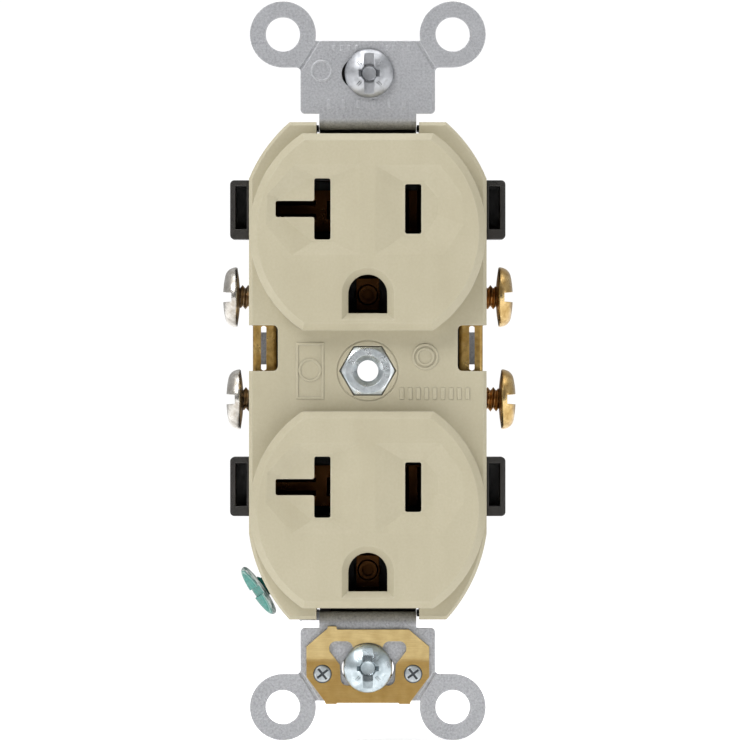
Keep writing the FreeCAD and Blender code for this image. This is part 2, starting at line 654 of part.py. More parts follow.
def make_mounting_strap():
    body = new_body("mounting_strap")
    run = new_sketch(body, "YZ_Plane", "0", "run")
    rear = "body_back + strap_thick"
    outer = "wall_in + strap_thick"
    outline(run, [
        ("-strap_thick", "-plate_low - 1"), ("-strap_thick", "-wall_in"), ("body_back", "-wall_in"),
        ("body_back", "wall_in"), ("-strap_thick", "wall_in"), ("-strap_thick", "plate_low + 1"),
        ("0", "plate_low + 1"), ("0", outer), (rear, outer), (rear, f"-({outer})"),
        ("0", f"-({outer})"), ("0", "-plate_low - 1"),
    ])
    wrap = pad(body, run, "neck_half * 2", middle=True)

    def outer_bend(at, edge):
        across = abs(edge.tangentAt(edge.FirstParameter).x) > 0.99
        front = abs(at.y + value("strap_thick")) < 0.01 and abs(abs(at.z) - value("wall_in")) < 0.01
        back = abs(at.y - value(rear)) < 0.01 and abs(abs(at.z) - value(outer)) < 0.01
        return across and (front or back)

    def inner_bend(at, edge):
        across = abs(edge.tangentAt(edge.FirstParameter).x) > 0.99
        front = abs(at.y) < 0.01 and abs(abs(at.z) - value(outer)) < 0.01
        return across and front
    rounded = soften(body, wrap, pick_edges(wrap, outer_bend), "1.6")
    soften(body, rounded, pick_edges(rounded, inner_bend), "0.4")

    plates = new_sketch(body, "XZ_Plane", "0", "plates")
    foot = "ear_high - ear_round"
    for turn in ("", "-"):
        points = [
            ("plate_half", "plate_low"), ("plate_half", foot),
            ("ear_out", foot), ("ear_out", "plate_top"),
            ("-ear_out", "plate_top"), ("-ear_out", foot),
            ("-plate_half", foot), ("-plate_half", "plate_low"),
        ]
        outline(plates, [(across, f"{turn}({up})") for across, up in points])
    flat = pad(body, plates, "strap_thick")

    def plate_corner(at, edge):
        along = abs(edge.tangentAt(edge.FirstParameter).y) > 0.99
        side = abs(abs(at.x) - value("plate_half")) < 0.01
        return along and side
    soften(body, flat, pick_edges(flat, plate_corner), "0.6")

    for number, (across, up) in enumerate((x, z) for x in (1, -1) for z in (1, -1)):
        ear = new_sketch(body, "XZ_Plane", "0", f"ear{number}")
        circle(ear, signed(across, "ear_out"), signed(up, "ear_high"), "ear_round")
        pad(body, ear, "strap_thick")

    arms = new_sketch(body, "XZ_Plane", "-body_back", "arms")
    rectangle(arms, "-arm_out", "arm_out", "terminal_mid - arm_half", "terminal_mid + arm_half")
    pad(body, arms, "strap_thick", reverse=True)

    ground_tab(body)

    cuts = new_sketch(body, "XZ_Plane", "-body_back - strap_thick - 1", "holes")
    circle(cuts, "0", "0", "2.45")
    for _, centre in FACES:
        circle(cuts, "0", f"{centre} - pin_drop", "1.8")
    pocket(body, cuts, "strap_thick + 2", reverse=True)

    front = new_sketch(body, "XZ_Plane", "strap_thick + 1", "front_holes")
    for up in (1, -1):
        obround(front, "-screw_slot_long / 2", "screw_slot_long / 2", signed(up, "box_screw_pitch / 2"),
                "screw_slot_half")
        for across in (1, -1):
            circle(front, signed(across, "ear_out"), signed(up, "ear_high"), "ear_hole")
    for across in (1, -1):
        circle(front, signed(across, "clip_rivet_out"), "-clip_rivet_low", "0.95")
    pocket(body, front, "strap_thick + 2")

    # score lines where the ears break off, front and rear
    for name, offset, back in (("front", "strap_thick - 0.2", True), ("rear", "0.2", False)):
        scores = new_sketch(body, "XZ_Plane", offset, f"{name}_scores")
        for up in (1, -1):
            for across in (1, -1):
                points = [("9.18", "42.2"), ("9.62", "42.35"), ("7.12", "46.45"), ("6.68", "46.3")]
                outline(scores, [(signed(across, x), signed(up, z)) for x, z in points])
        pocket(body, scores, "0.4", reverse=back)
    strap_marks(body)
    return body


def strap_marks(body):
    """Plain raised ring and bars on the top end plate."""
    marks = new_sketch(body, "XZ_Plane", "strap_thick - 0.2", "stamped")
    circle(marks, "-6.45", "42.05", "1.5")
    circle(marks, "-6.45", "42.05", "1.25")
    for bar in range(6):
        rectangle(marks, f"-5.7 + {bar} * 2.1", f"-5.25 + {bar} * 2.1", "36.75", "38.0")
    for tick in (0, 1, 2, 3, 7, 8, 9, 10):
        rectangle(marks, f"-4.9 + {tick} * 1.05", f"-4.55 + {tick} * 1.05", "44.9", "45.6")
    pad(body, marks, "strap_mark_high + 0.2")


def ground_direction():
    """Unit vector along which the ground screw points away from the device."""
    turn = math.radians(value("ground_angle"))
    tilt = math.radians(value("ground_tilt"))
    return Vector(math.cos(turn) * math.cos(tilt), -math.sin(tilt), math.sin(turn) * math.cos(tilt))


def ground_frame():
    """Rotation whose Z is the ground screw's direction and whose X lies along the ground tab."""
    out = ground_direction()
    along = Vector(0, 1, 0).cross(out).normalize()
    return Rotation(along, out.cross(along), out, "ZXY")


def ground_tab(body):
    """Tab that rises from the bottom end wall along the corner, with the ground screw's tapped hole."""
    wall = new_sketch(body, "XZ_Plane", "-5.2", "tab_root")
    high, low = "-wall_in - 0.05", "-wall_in - strap_thick"
    outline(wall, [("-neck_half + 1", low), ("-neck_half + 1", high), ("-9.0", high), ("-9.6", low)])
    pad(body, wall, "9.2", reverse=True)

    head = Vector(value("ground_x"), value("ground_y"), value("ground_z"))
    seat = head - ground_direction() * value("ground_tab_gap + strap_thick")
    tab = body.newObject("Sketcher::SketchObject", "mounting_strap_tab")
    tab.Placement = Placement(seat, ground_frame())
    rectangle(tab, "-7.0", "4.4", "-4.4", "4.4")
    pad(body, tab, "strap_thick")
    hole = body.newObject("Sketcher::SketchObject", "mounting_strap_tab_hole")
    hole.Placement = Placement(seat - ground_direction(), ground_frame())
    circle(hole, "0", "0", "thread_round + fit_gap")
    pocket(body, hole, "strap_thick + 2", reverse=True)


# ---------------------------------------------------------------- rivets

def make_center_rivet():
    body = new_body("center_rivet")
    flats = "hex_flats - 0.3"
    head = new_sketch(body, "XZ_Plane", "web_front - hex_deep", "head")
    reach = f"({flats}) / sqrt(3)"
    outline(head, [
        (reach, "0"), (f"{reach} / 2", f"({flats}) / 2"), (f"-{reach} / 2", f"({flats}) / 2"),
        (f"-{reach}", "0"), (f"-{reach} / 2", f"-({flats}) / 2"), (f"{reach} / 2", f"-({flats}) / 2"),
    ])
    pad(body, head, "hex_deep - 0.05")
    shank = new_sketch(body, "XZ_Plane", "web_front - hex_deep", "shank")
    circle(shank, "0", "0", "2.4")
    pad(body, shank, "web_front - hex_deep + body_back + strap_thick", reverse=True)
    tail = new_sketch(body, "XZ_Plane", "-body_back - strap_thick", "tail")
    circle(tail, "0", "0", "3.5")
    upset = pad(body, tail, "0.6", reverse=True)
    rear = value("body_back + strap_thick + 0.6")
    rounded = soften(body, upset, pick_edges(upset, lambda at, edge: abs(at.y - rear) < 0.01), "0.4")

    # the head's turned crown and the lead-in of the tapped hole, cut round the axis
    crown = new_sketch(body, "YZ_Plane", "0", "crown")
    front = "-web_front + 0.05"
    ahead, bottom = f"{front} - 0.2", f"{front} + 0.7"
    outline(crown, [(front, "3.15"), (ahead, "3.15"), (ahead, "4.3"), (f"{front} + 0.5", "4.3")])
    outline(crown, [(ahead, "0"), (ahead, "2.4"), (bottom, "1.5"), (bottom, "0")])
    cut = body.newObject("PartDesign::Groove", "center_rivet_crown")
    cut.Profile = crown
    cut.ReferenceAxis = (crown, ["H_Axis"])
    cut.Angle = 360
    bore = new_sketch(body, "XZ_Plane", "web_front + 1", "bore")
    circle(bore, "0", "0", "1.5")
    pocket(body, bore, "web_front + body_back + strap_thick + 3")
    return body


def make_ground_rivet(name, centre):
    """Hollow stepped rivet: rolled rim on the contact, head behind the strap."""
    body = new_body(f"{name}_ground_rivet")
    profile = new_sketch(body, "XY_Plane", f"{centre} - pin_drop", "profile")
    rim, step, rear = "contact_base - 0.35", "chamber_back + 0.1", "body_back + strap_thick"
    bore, bore_end = "contact_rivet - 0.2", "contact_base + 2.4"
    outline(profile, [
        ("0", bore_end), (bore, bore_end), (bore, rim), ("contact_rivet + 0.25", rim),
        ("contact_rivet + 0.45", "contact_base"), ("contact_rivet", "contact_base"),
        ("contact_rivet", step), ("1.75", step), ("1.75", rear), ("2.8", rear),
        ("2.4", f"{rear} + 0.6"), ("0", f"{rear} + 0.6"),
    ])
    revolve(body, profile)
    return body


def make_clip_rivet(name, side):
    body = new_body(f"clip_rivet_{name}")
    place = Vector(value(signed(side, "clip_rivet_out")), 0, value("-clip_rivet_low"))
    body.Placement = Placement(place, Rotation())
    profile = new_sketch(body, "XY_Plane", "0", "profile")
    head = "-strap_thick - clip_thick"
    outline(profile, [
        ("0", f"{head} - 0.3"), ("clip_rivet_head - 0.35", f"{head} - 0.26"), ("clip_rivet_head", head),
        ("0.9", head), ("0.9", "0"), ("1.3", "0"), ("1.1", "0.3"), ("0", "0.3"),
    ])
    revolve(body, profile)
    for number, tilt in enumerate((38, 128)):
        cross = new_sketch(body, "XZ_Plane", "strap_thick + clip_thick + 0.4", f"stake{number}")
        cross.AttachmentOffset = Placement(Vector(0, 0, value("strap_thick + clip_thick + 0.4")),
                                           Rotation(Vector(0, 0, 1), tilt))
        rectangle(cross, "-0.95", "0.95", "-0.16", "0.16")
        pocket(body, cross, "0.42")
    return body


# ---------------------------------------------------------------- contacts

def leaf(body, name, plane, offset, length, points):
    """Contact leaf: a bent strip drawn edge on and padded to its width."""
    sketch = new_sketch(body, plane, offset, name)
    outline(sketch, points)
    return pad(body, sketch, length, middle=True)


def leaf_points(near, bend):
    """Edge-on outline of a leaf on the XY plane. near is the leaf's inner face and bend the way it leans."""
    back = "bus_floor_back - 0.2"
    thick = f"{bend} * leaf_thick"
    return [
        (near, back), (near, "7.0"), (f"{near} - {bend} * 0.35", "4.4"), (f"{near} - {bend} * 0.35", "2.6"),
        (f"{near} + {bend} * 0.35", "-0.2"), (f"{near} + {bend} * 0.35 + {thick}", "-0.2"),
        (f"{near} - {bend} * 0.35 + {thick}", "2.7"), (f"{near} - {bend} * 0.35 + {thick}", "4.4"),
        (f"{near} + {thick}", "7.1"), (f"{near} + {thick}", back),
    ]


def make_bus(pole, side):
    """Bus bar of one pole. It is drawn about its own middle plane, and its lower half mirrors the upper."""
    body = new_body(f"{pole}_bus")
    body.Placement = Placement(Vector(0, 0, value("terminal_mid")), Rotation())
    body.setExpression("Placement.Base.z", bound("terminal_mid"))
    features = []

    # side strip: the terminal plate, and the narrow link in the window that joins both halves
    plate = new_sketch(body, "YZ_Plane", signed(side, "bus_out"), "plate")
    outline(plate, [
        ("tab_front", "0"), ("tab_front", "terminal_half - 3.2"), ("6.0", "terminal_half - 3.2"),
        ("6.0", "terminal_half + 4.0"), ("bus_floor_back", "terminal_half + 4.0"),
        ("bus_floor_back", "terminal_half - 3.8"), ("6.4", "terminal_half - 3.8"), ("5.4", "0"),
    ])
    features.append(pad(body, plate, "bus_thick", reverse=side > 0))

    floor = new_sketch(body, "XZ_Plane", "-bus_floor_back", "floor")
    inner = "4.6" if side > 0 else "4.3"
    points = [
        ("bus_out", "terminal_half - 3.8"), ("bus_out", "terminal_half + 4.0"),
        ("14.8", "terminal_half + 4.0"),
        ("14.8", "contact_half + 2.9"), (inner, "contact_half + 2.9"), (inner, "contact_half - 2.9"),
        ("13.2", "contact_half - 2.9"), ("13.2", "terminal_half + 0.9"), ("8.4", "terminal_half + 0.9"),
        ("8.4", "terminal_half - 0.9"), ("13.2", "terminal_half - 0.9"), ("13.2", "terminal_half - 3.8"),
    ]
    outline(floor, [(signed(side, across), up) for across, up in points])
    features.append(pad(body, floor, "bus_floor_thick"))

    # inner leg that a clamp plate presses a wire against
    leg = new_sketch(body, "XZ_Plane", "-bus_floor_back", "leg")
    left, right = span(side, "8.4", "9.4")
    rectangle(leg, left, right, "terminal_half - 3.6", "terminal_half + 3.6")
    features.append(pad(body, leg, "bus_floor_back - 6.4"))

    # leaves for an upright blade, and for the T slot's level blade
    near, far = "blade_out - 0.95", "blade_out + 0.95"
    tall = "5.6" if side > 0 else "2.6"
    sideways = []
    for name, at, bend in (("inner", near, "-1"), ("outer", far, "1")):
        if side < 0 and name == "outer":
            continue
        points = [(signed(side, across), back) for across, back in leaf_points(at, bend)]
        sideways.append(leaf(body, f"{name}_leaf", "XY_Plane", "contact_half", tall, points))
    if side < 0:
        middle = "-(neutral_slot_out + blade_out + 0.8) / 2"
        for name, bend in (("high", "1"), ("low", "-1")):
            at = f"contact_half + {bend} * 0.95"
            points = [(back, up) for up, back in leaf_points(at, bend)]
            sideways.append(leaf(body, f"{name}_leaf", "YZ_Plane", middle, "5.4", points))
    features += sideways

    hole = new_sketch(body, "YZ_Plane", signed(side, "bus_out - bus_thick - 0.5"), "tapped")
    circle(hole, "terminal_back", "terminal_half", "thread_round + fit_gap")
    features.append(pocket(body, hole, "bus_thick + 1", reverse=side > 0))

    middle_plane = [item for item in body.Origin.OriginFeatures if item.Role == "XY_Plane"][0]
    mirror = body.newObject("PartDesign::Mirrored", f"{body.Name}_lower_half")
    mirror.Originals = features
    mirror.MirrorPlane = (middle_plane, [""])
    body.Tip = mirror

    # break-off tab in the side window, with its slit
    tab = new_sketch(body, "XZ_Plane", "-tab_front - bus_thick", "tab")
    left, right = span(side, "tab_in", "bus_out - 0.1")
    rectangle(tab, left, right, "-3.7", "3.7")
    joined = pad(body, tab, "bus_thick")

    def rolled_edge(at, edge):
        upright = abs(edge.tangentAt(edge.FirstParameter).z) > 0.99
        front = abs(at.y - value("tab_front")) < 0.01
        side_gap = min(abs(abs(at.x) - value(word)) for word in ("tab_in", "bus_out"))
        return upright and front and side_gap < 0.01
    soften(body, joined, pick_edges(joined, rolled_edge), "0.5")
    slit = new_sketch(body, "XZ_Plane", "-tab_front + 1", "slit")
    left, right = ("14.25", "15.0") if side > 0 else ("-15.0", "-14.25")
    outline(slit, [(left, "-2.9"), (right, "-2.9"), (right, "2.9"), (left, "2.9")], {0: "0.42", 2: "0.42"})
    pocket(body, slit, "bus_thick + 2")
    return body


def make_ground_contact(name, centre):
    body = new_body(f"{name}_ground_contact")
    body.Placement = Placement(Vector(0, 0, value(f"{centre} - pin_drop")), Rotation())
    body.setExpression("Placement.Base.z", bound(f"{centre} - pin_drop"))
    strip = new_sketch(body, "YZ_Plane", "0", "strip")
    rear = "contact_base + 0.8"
    half = [
        ("contact_base", "3.0"), ("6.0", "3.0"), ("4.2", "2.2"), ("2.8", "2.2"), ("0.9", "3.0"),
        ("1.3", "3.6"), ("3.1", "2.85"), ("4.0", "2.85"), ("5.8", "3.65"), (rear, "3.65"),
    ]
    lower = [(back, f"-{up}") for back, up in reversed(half)]
    outline(strip, half + lower)
    pad(body, strip, "3.2", middle=True)
    # spacer bush of the contact's own metal between its base and the chamber's floor
    seat = new_sketch(body, "XZ_Plane", f"-({rear})", "seat")
    circle(seat, "0", "0", "1.6")
    pad(body, seat, f"chamber_back - ({rear})", reverse=True)
    hole = new_sketch(body, "XZ_Plane", "1 - contact_base", "hole")
    circle(hole, "0", "0", "contact_rivet")
    pocket(body, hole, "chamber_back - contact_base + 2")
    return body


# ---------------------------------------------------------------- screws and clamps

def turned_screw(body, head, high, thread, slot_deep, dome):
    """Slotted screw along the body's Z axis, its head's underside at 0 and its thread below."""
    profile = new_sketch(body, "XZ_Plane", "0", "turned")
    end = f"-({thread})"
    tip = f"{end} - clamp_thick - 0.15"
    outline(profile, [
        ("0", high), ("0.9", high), (f"{head} * 0.88", f"{high} * 0.58"),
        (head, f"{high} * 0.3"), (head, "head_dish"),
        ("thread_round", "0"), ("thread_round", end), ("journal_round", end), ("journal_round", tip),
        ("journal_round + 0.55", tip), ("journal_round + 0.35", f"{tip} - 0.5"), ("0", f"{tip} - 0.5"),
    ], {1: dome})
    turned = revolve(body, profile)
    slot = new_sketch(body, "XZ_Plane", "0", "slot")
    half = "terminal_slot_wide / 2"
    rectangle(slot, f"-{half}", half, f"{high} - {slot_deep}", f"{high} + 1")
    pocket(body, slot, "20", middle=True)
    turns = int((value(thread) - 0.3) / value("thread_pitch"))
    first_ring = "-thread_pitch * 0.55"
    return thread_rings(body, turned, "thread_round", first_ring, f"{turns} * thread_pitch + 0.01")


def make_terminal_screw(label, side, height, out):
    body = new_body(label)
    turned_screw(
        body, "terminal_head", "terminal_head_high", "terminal_screw_long", "terminal_slot_deep", "-6.2"
    )
    # the screw's own X, across its slot, is put upright
    rotation = Rotation(Vector(0, 0, side), Vector(0, 1, 0), Vector(side, 0, 0), "ZXY")
    place = Vector(value(signed(side, out)), value("terminal_back"), value(height))
    body.Placement = Placement(place, rotation)
    return body


def make_clamp(label, wide, tall, placement):
    """Square clamp plate with its hole, lying in the body's XY plane with its wire side at z = 0."""
    body = new_body(label)
    plate = new_sketch(body, "XY_Plane", "0", "plate")
    rectangle(plate, f"-({wide}) / 2", f"({wide}) / 2", f"-({tall}) / 2", f"({tall}) / 2")
    solid = pad(body, plate, "clamp_thick")

    def corner(at, edge):
        return abs(edge.tangentAt(edge.FirstParameter).z) > 0.99
    soften(body, solid, pick_edges(solid, corner), "0.8")
    hole = new_sketch(body, "XY_Plane", "-1", "hole")
    circle(hole, "0", "0", "journal_round + fit_gap")
    pocket(body, hole, "clamp_thick + 2", reverse=True)
    body.Placement = placement
    return body


def make_box_screw(label, shift, height, under):
    """Combination-drive 6-32 screw: a full slot, a short cross and a round floor."""
    body = new_body(label)
    profile = new_sketch(body, "XZ_Plane", "0", "turned")
    end = "-box_screw_long"
    outline(profile, [
        ("0", "box_head_high"), ("0.5", "box_head_high"), ("box_head - 0.35", "box_head_high * 0.5"),
        ("box_head", "box_head_high * 0.28"), ("box_head", "0"),
        ("box_neck", "0"), ("box_neck", "-box_neck_long"), ("thread_round", "-box_neck_long"),
        ("thread_round", f"{end} + 0.6"), ("thread_round - 0.6", end), ("0", end),
    ], {1: "-4.6"})
    turned = revolve(body, profile)
    drive = new_sketch(body, "XY_Plane", "box_head_high + 0.1", "slot")
    rectangle(drive, "-0.8", "0.8", "-box_head - 0.5", "box_head + 0.5")
    pocket(body, drive, "0.95")
    cross = new_sketch(body, "XY_Plane", "box_head_high + 0.1", "cross")
    rectangle(cross, "-1.75", "1.75", "-0.55", "0.55")
    pocket(body, cross, "1.3")
    rise = new_sketch(body, "XY_Plane", "box_head_high + 0.1", "upright")
    rectangle(rise, "-0.55", "0.55", "-1.75", "1.75")
    pocket(body, rise, "1.3")
    well = new_sketch(body, "XY_Plane", "box_head_high + 0.1", "well")
    circle(well, "0", "0", "1.05")
    pocket(body, well, "1.55")
    turns = int(value("box_screw_long - box_neck_long - 1") / value("thread_pitch"))
    thread_rings(body, turned, "thread_round", "-box_neck_long - thread_pitch * 0.6",
                 f"{turns} * thread_pitch + 0.01")
    rotation = Rotation(Vector(1, 0, 0), Vector(0, 0, 1), Vector(0, -1, 0), "ZXY")
    body.Placement = Placement(Vector(value(shift), value(under), value(height)), rotation)
    return body


def make_retaining_washer(label, shift, height, half):
    """Fibre washer that keeps a box screw in its slot."""
    body = new_body(label)
    body.Placement = Placement(Vector(value(shift), 0, value(height)), Rotation())
    sketch = new_sketch(body, "XZ_Plane", "-0.05", "plate")
    rectangle(sketch, f"-{half}", half, "-3.6", "3.6")
    solid = pad(body, sketch, "0.8", reverse=True)

    def corner(at, edge):
        return abs(edge.tangentAt(edge.FirstParameter).y) > 0.99
    soften(body, solid, pick_edges(solid, corner), "1.2")
    hole = new_sketch(body, "XZ_Plane", "1", "hole")
    circle(hole, "0", "0", "box_neck + fit_gap")
    pocket(body, hole, "3")
    return body


# ---------------------------------------------------------------- clip

def make_self_grounding_clip():
    body = new_body("self_grounding_clip")
    lower = new_sketch(body, "XZ_Plane", "strap_thick", "lower")
    right = [
        ("8.6", "-clip_bend"), ("8.6", "-42.9"), ("6.05", "-46.3"), ("5.9", "-46.7"), ("4.4", "-46.7"),
        ("4.3", "-46.55"),
    ]
    left = [(f"-{across}", up) for across, up in reversed(right)]
    outline(lower, right + left)
    pad(body, lower, "clip_thick")

    # the free part turns about the bend line
    lift = "strap_thick + clip_bend * sin(clip_tilt)"
    drop = "clip_bend * cos(clip_tilt) - clip_bend"
    upper = new_sketch(body, "XZ_Plane", lift, "upper")
    tilt = Rotation(Vector(1, 0, 0), value("clip_tilt"))
    upper.AttachmentOffset = Placement(Vector(0, value(drop), value(lift)), tilt)
    upper.setExpression("AttachmentOffset.Base.y", bound(drop))
    outline(upper, [
        ("8.6", "-clip_bend - 0.02"), ("8.6", "-38.6"), ("5.75", "-36.2"),
        ("-4.3", "-36.2"), ("-4.4", "-35.75"), ("-5.6", "-35.75"), ("-5.7", "-36.2"),
        ("-5.8", "-36.2"), ("-8.6", "-38.6"), ("-8.6", "-clip_bend - 0.02"),
    ])
    pad(body, upper, "clip_thick")

    lobes = new_sketch(body, "XZ_Plane", "strap_thick + 3", "lobes")
    outline(lobes, [
        ("-2.1", "-38.8"), ("-3.0", "-37.9"), ("-4.5", "-37.9"), ("-5.4", "-38.8"), ("-5.35", "-39.3"),
        ("-3.9", "-41.2"), ("-3.8", "-43.3"), ("-2.9", "-44.1"), ("2.9", "-44.1"), ("3.8", "-43.3"),
        ("3.9", "-41.2"), ("5.35", "-39.3"), ("5.4", "-38.8"), ("4.5", "-37.9"), ("3.0", "-37.9"),
        ("2.1", "-38.8"),
    ], {0: "0.95", 2: "0.95", 12: "0.95", 14: "0.95", 6: "0.95", 8: "0.95", 15: "3.6"})
    for side in (1, -1):
        circle(lobes, signed(side, "clip_rivet_out"), "-clip_rivet_low", "0.95")
    pocket(body, lobes, "5")
    return body


# ---------------------------------------------------------------- assembly

def build():
    make_front_cover()
    make_back_body()
    make_mounting_strap()
    make_center_rivet()
    for name, centre in FACES:
        make_ground_contact(name, centre)
        make_ground_rivet(name, centre)
    for pole, side in SIDES:
        make_bus(pole, side)
        for name, turn in (("upper", "+"), ("lower", "-")):
            height = f"terminal_mid {turn} terminal_half"
            out = f"{name}_{pole}_out"
            make_terminal_screw(f"{name}_{pole}_screw", side, height, out)
            inner = signed(side, f"{out} - terminal_screw_long - clamp_thick - fit_gap")
            upright = Rotation(Vector(0, 0, side), Vector(0, 1, 0), Vector(side, 0, 0), "ZXY")
            place = Placement(Vector(value(inner), value("terminal_back"), value(height)), upright)
            make_clamp(f"{name}_{pole}_clamp", "6.8", "7.4", place)

    head = Vector(value("ground_x"), value("ground_y"), value("ground_z"))
    out = ground_direction()
    screw = new_body("ground_screw")
    turned_screw(screw, "ground_head", "ground_head_high", "ground_screw_long", "ground_slot_deep", "-6.4")
    screw.Placement = Placement(head, ground_frame())
    seat = head - out * value("ground_screw_long + clamp_thick + fit_gap")
    make_clamp("ground_clamp", "5.0", "6.6", Placement(seat, ground_frame()))

    make_self_grounding_clip()
    make_clip_rivet("left", -1)
    make_clip_rivet("right", 1)
    for name, side in (("top", 1), ("bottom", -1)):
        height = signed(side, "box_screw_pitch / 2")
        shift = "top_screw_shift" if side > 0 else "0"
        under = "-strap_thick - top_head_gap" if side > 0 else "-strap_thick - clip_thick - bottom_head_gap"
        make_retaining_washer(f"{name}_retaining_washer", shift, height, f"{name}_washer_half")
        make_box_screw(f"{name}_mounting_screw", shift, height, under)


def check():
    """Stop if any object of the document failed, or any sub-part has no sound solid."""
    doc.recompute()
    failed = [item.Name for item in doc.Objects if "Invalid" in item.State or "Error" in item.State]
    for body in parts:
        shape = body.Shape
        if shape.isNull() or not shape.isValid() or not shape.Solids:
            failed.append(f"{body.Label} has no valid solid")
    if failed:
        raise RuntimeError("failed: " + "; ".join(failed))


def export():
    os.makedirs("parts", exist_ok=True)
    for body in parts:
        body.Shape.exportStep(f"parts/{body.Label}.step")
        print(f"{body.Label}: {body.Shape.Volume:.1f} mm3, {len(body.Shape.Solids)} solid")


build()
check()
export()
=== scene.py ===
import json
import math

import bmesh
import bpy
from mathutils import Matrix, Vector


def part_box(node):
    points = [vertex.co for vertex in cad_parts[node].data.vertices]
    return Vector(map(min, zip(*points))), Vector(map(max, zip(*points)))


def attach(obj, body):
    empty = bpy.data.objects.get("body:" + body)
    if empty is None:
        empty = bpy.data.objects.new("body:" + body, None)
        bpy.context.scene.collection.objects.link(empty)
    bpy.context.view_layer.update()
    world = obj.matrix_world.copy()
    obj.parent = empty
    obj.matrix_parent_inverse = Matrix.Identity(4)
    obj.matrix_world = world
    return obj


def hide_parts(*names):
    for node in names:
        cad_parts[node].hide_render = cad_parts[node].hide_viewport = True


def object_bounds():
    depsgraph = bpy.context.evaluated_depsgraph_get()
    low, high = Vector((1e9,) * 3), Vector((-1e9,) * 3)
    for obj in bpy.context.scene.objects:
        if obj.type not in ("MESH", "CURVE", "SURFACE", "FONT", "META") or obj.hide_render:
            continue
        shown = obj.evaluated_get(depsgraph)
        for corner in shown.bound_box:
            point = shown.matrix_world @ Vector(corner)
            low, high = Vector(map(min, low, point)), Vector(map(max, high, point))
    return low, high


# Looks of a duplex receptacle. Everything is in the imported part's frame, in metres: +X right, +Y into the
# wall, +Z up. Detailed pieces are drawn in millimetres and scaled down when they are put in place.

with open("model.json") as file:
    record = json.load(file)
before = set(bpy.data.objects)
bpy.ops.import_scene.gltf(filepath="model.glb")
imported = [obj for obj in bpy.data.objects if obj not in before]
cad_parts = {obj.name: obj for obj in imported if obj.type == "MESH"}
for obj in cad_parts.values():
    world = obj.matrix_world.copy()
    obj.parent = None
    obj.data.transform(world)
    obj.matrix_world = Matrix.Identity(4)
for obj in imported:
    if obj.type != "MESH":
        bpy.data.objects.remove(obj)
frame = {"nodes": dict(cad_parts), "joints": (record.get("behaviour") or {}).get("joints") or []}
CAD_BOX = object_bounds()
MM = 0.001
RANGE_SOCKETS = ("From Min", "From Max", "To Min", "To Max")
JOINTS = {joint["name"]: joint for joint in frame["joints"]}


# ---------------------------------------------------------------- materials

# stretches in millimetres over which painted shade inside the housing comes in or ends: in depth, across at
# the windows and at the terminal plates, and toward the rear
IN_DEPTH = (4.2, 6.5)
AT_WINDOWS = (12.6, 12.9)
AT_PLATES = (14.4, 14.9)
AT_REAR = (21.5, 22.0)
# the most that a part of a brightened colour may reach
BRIGHTEST = 0.95


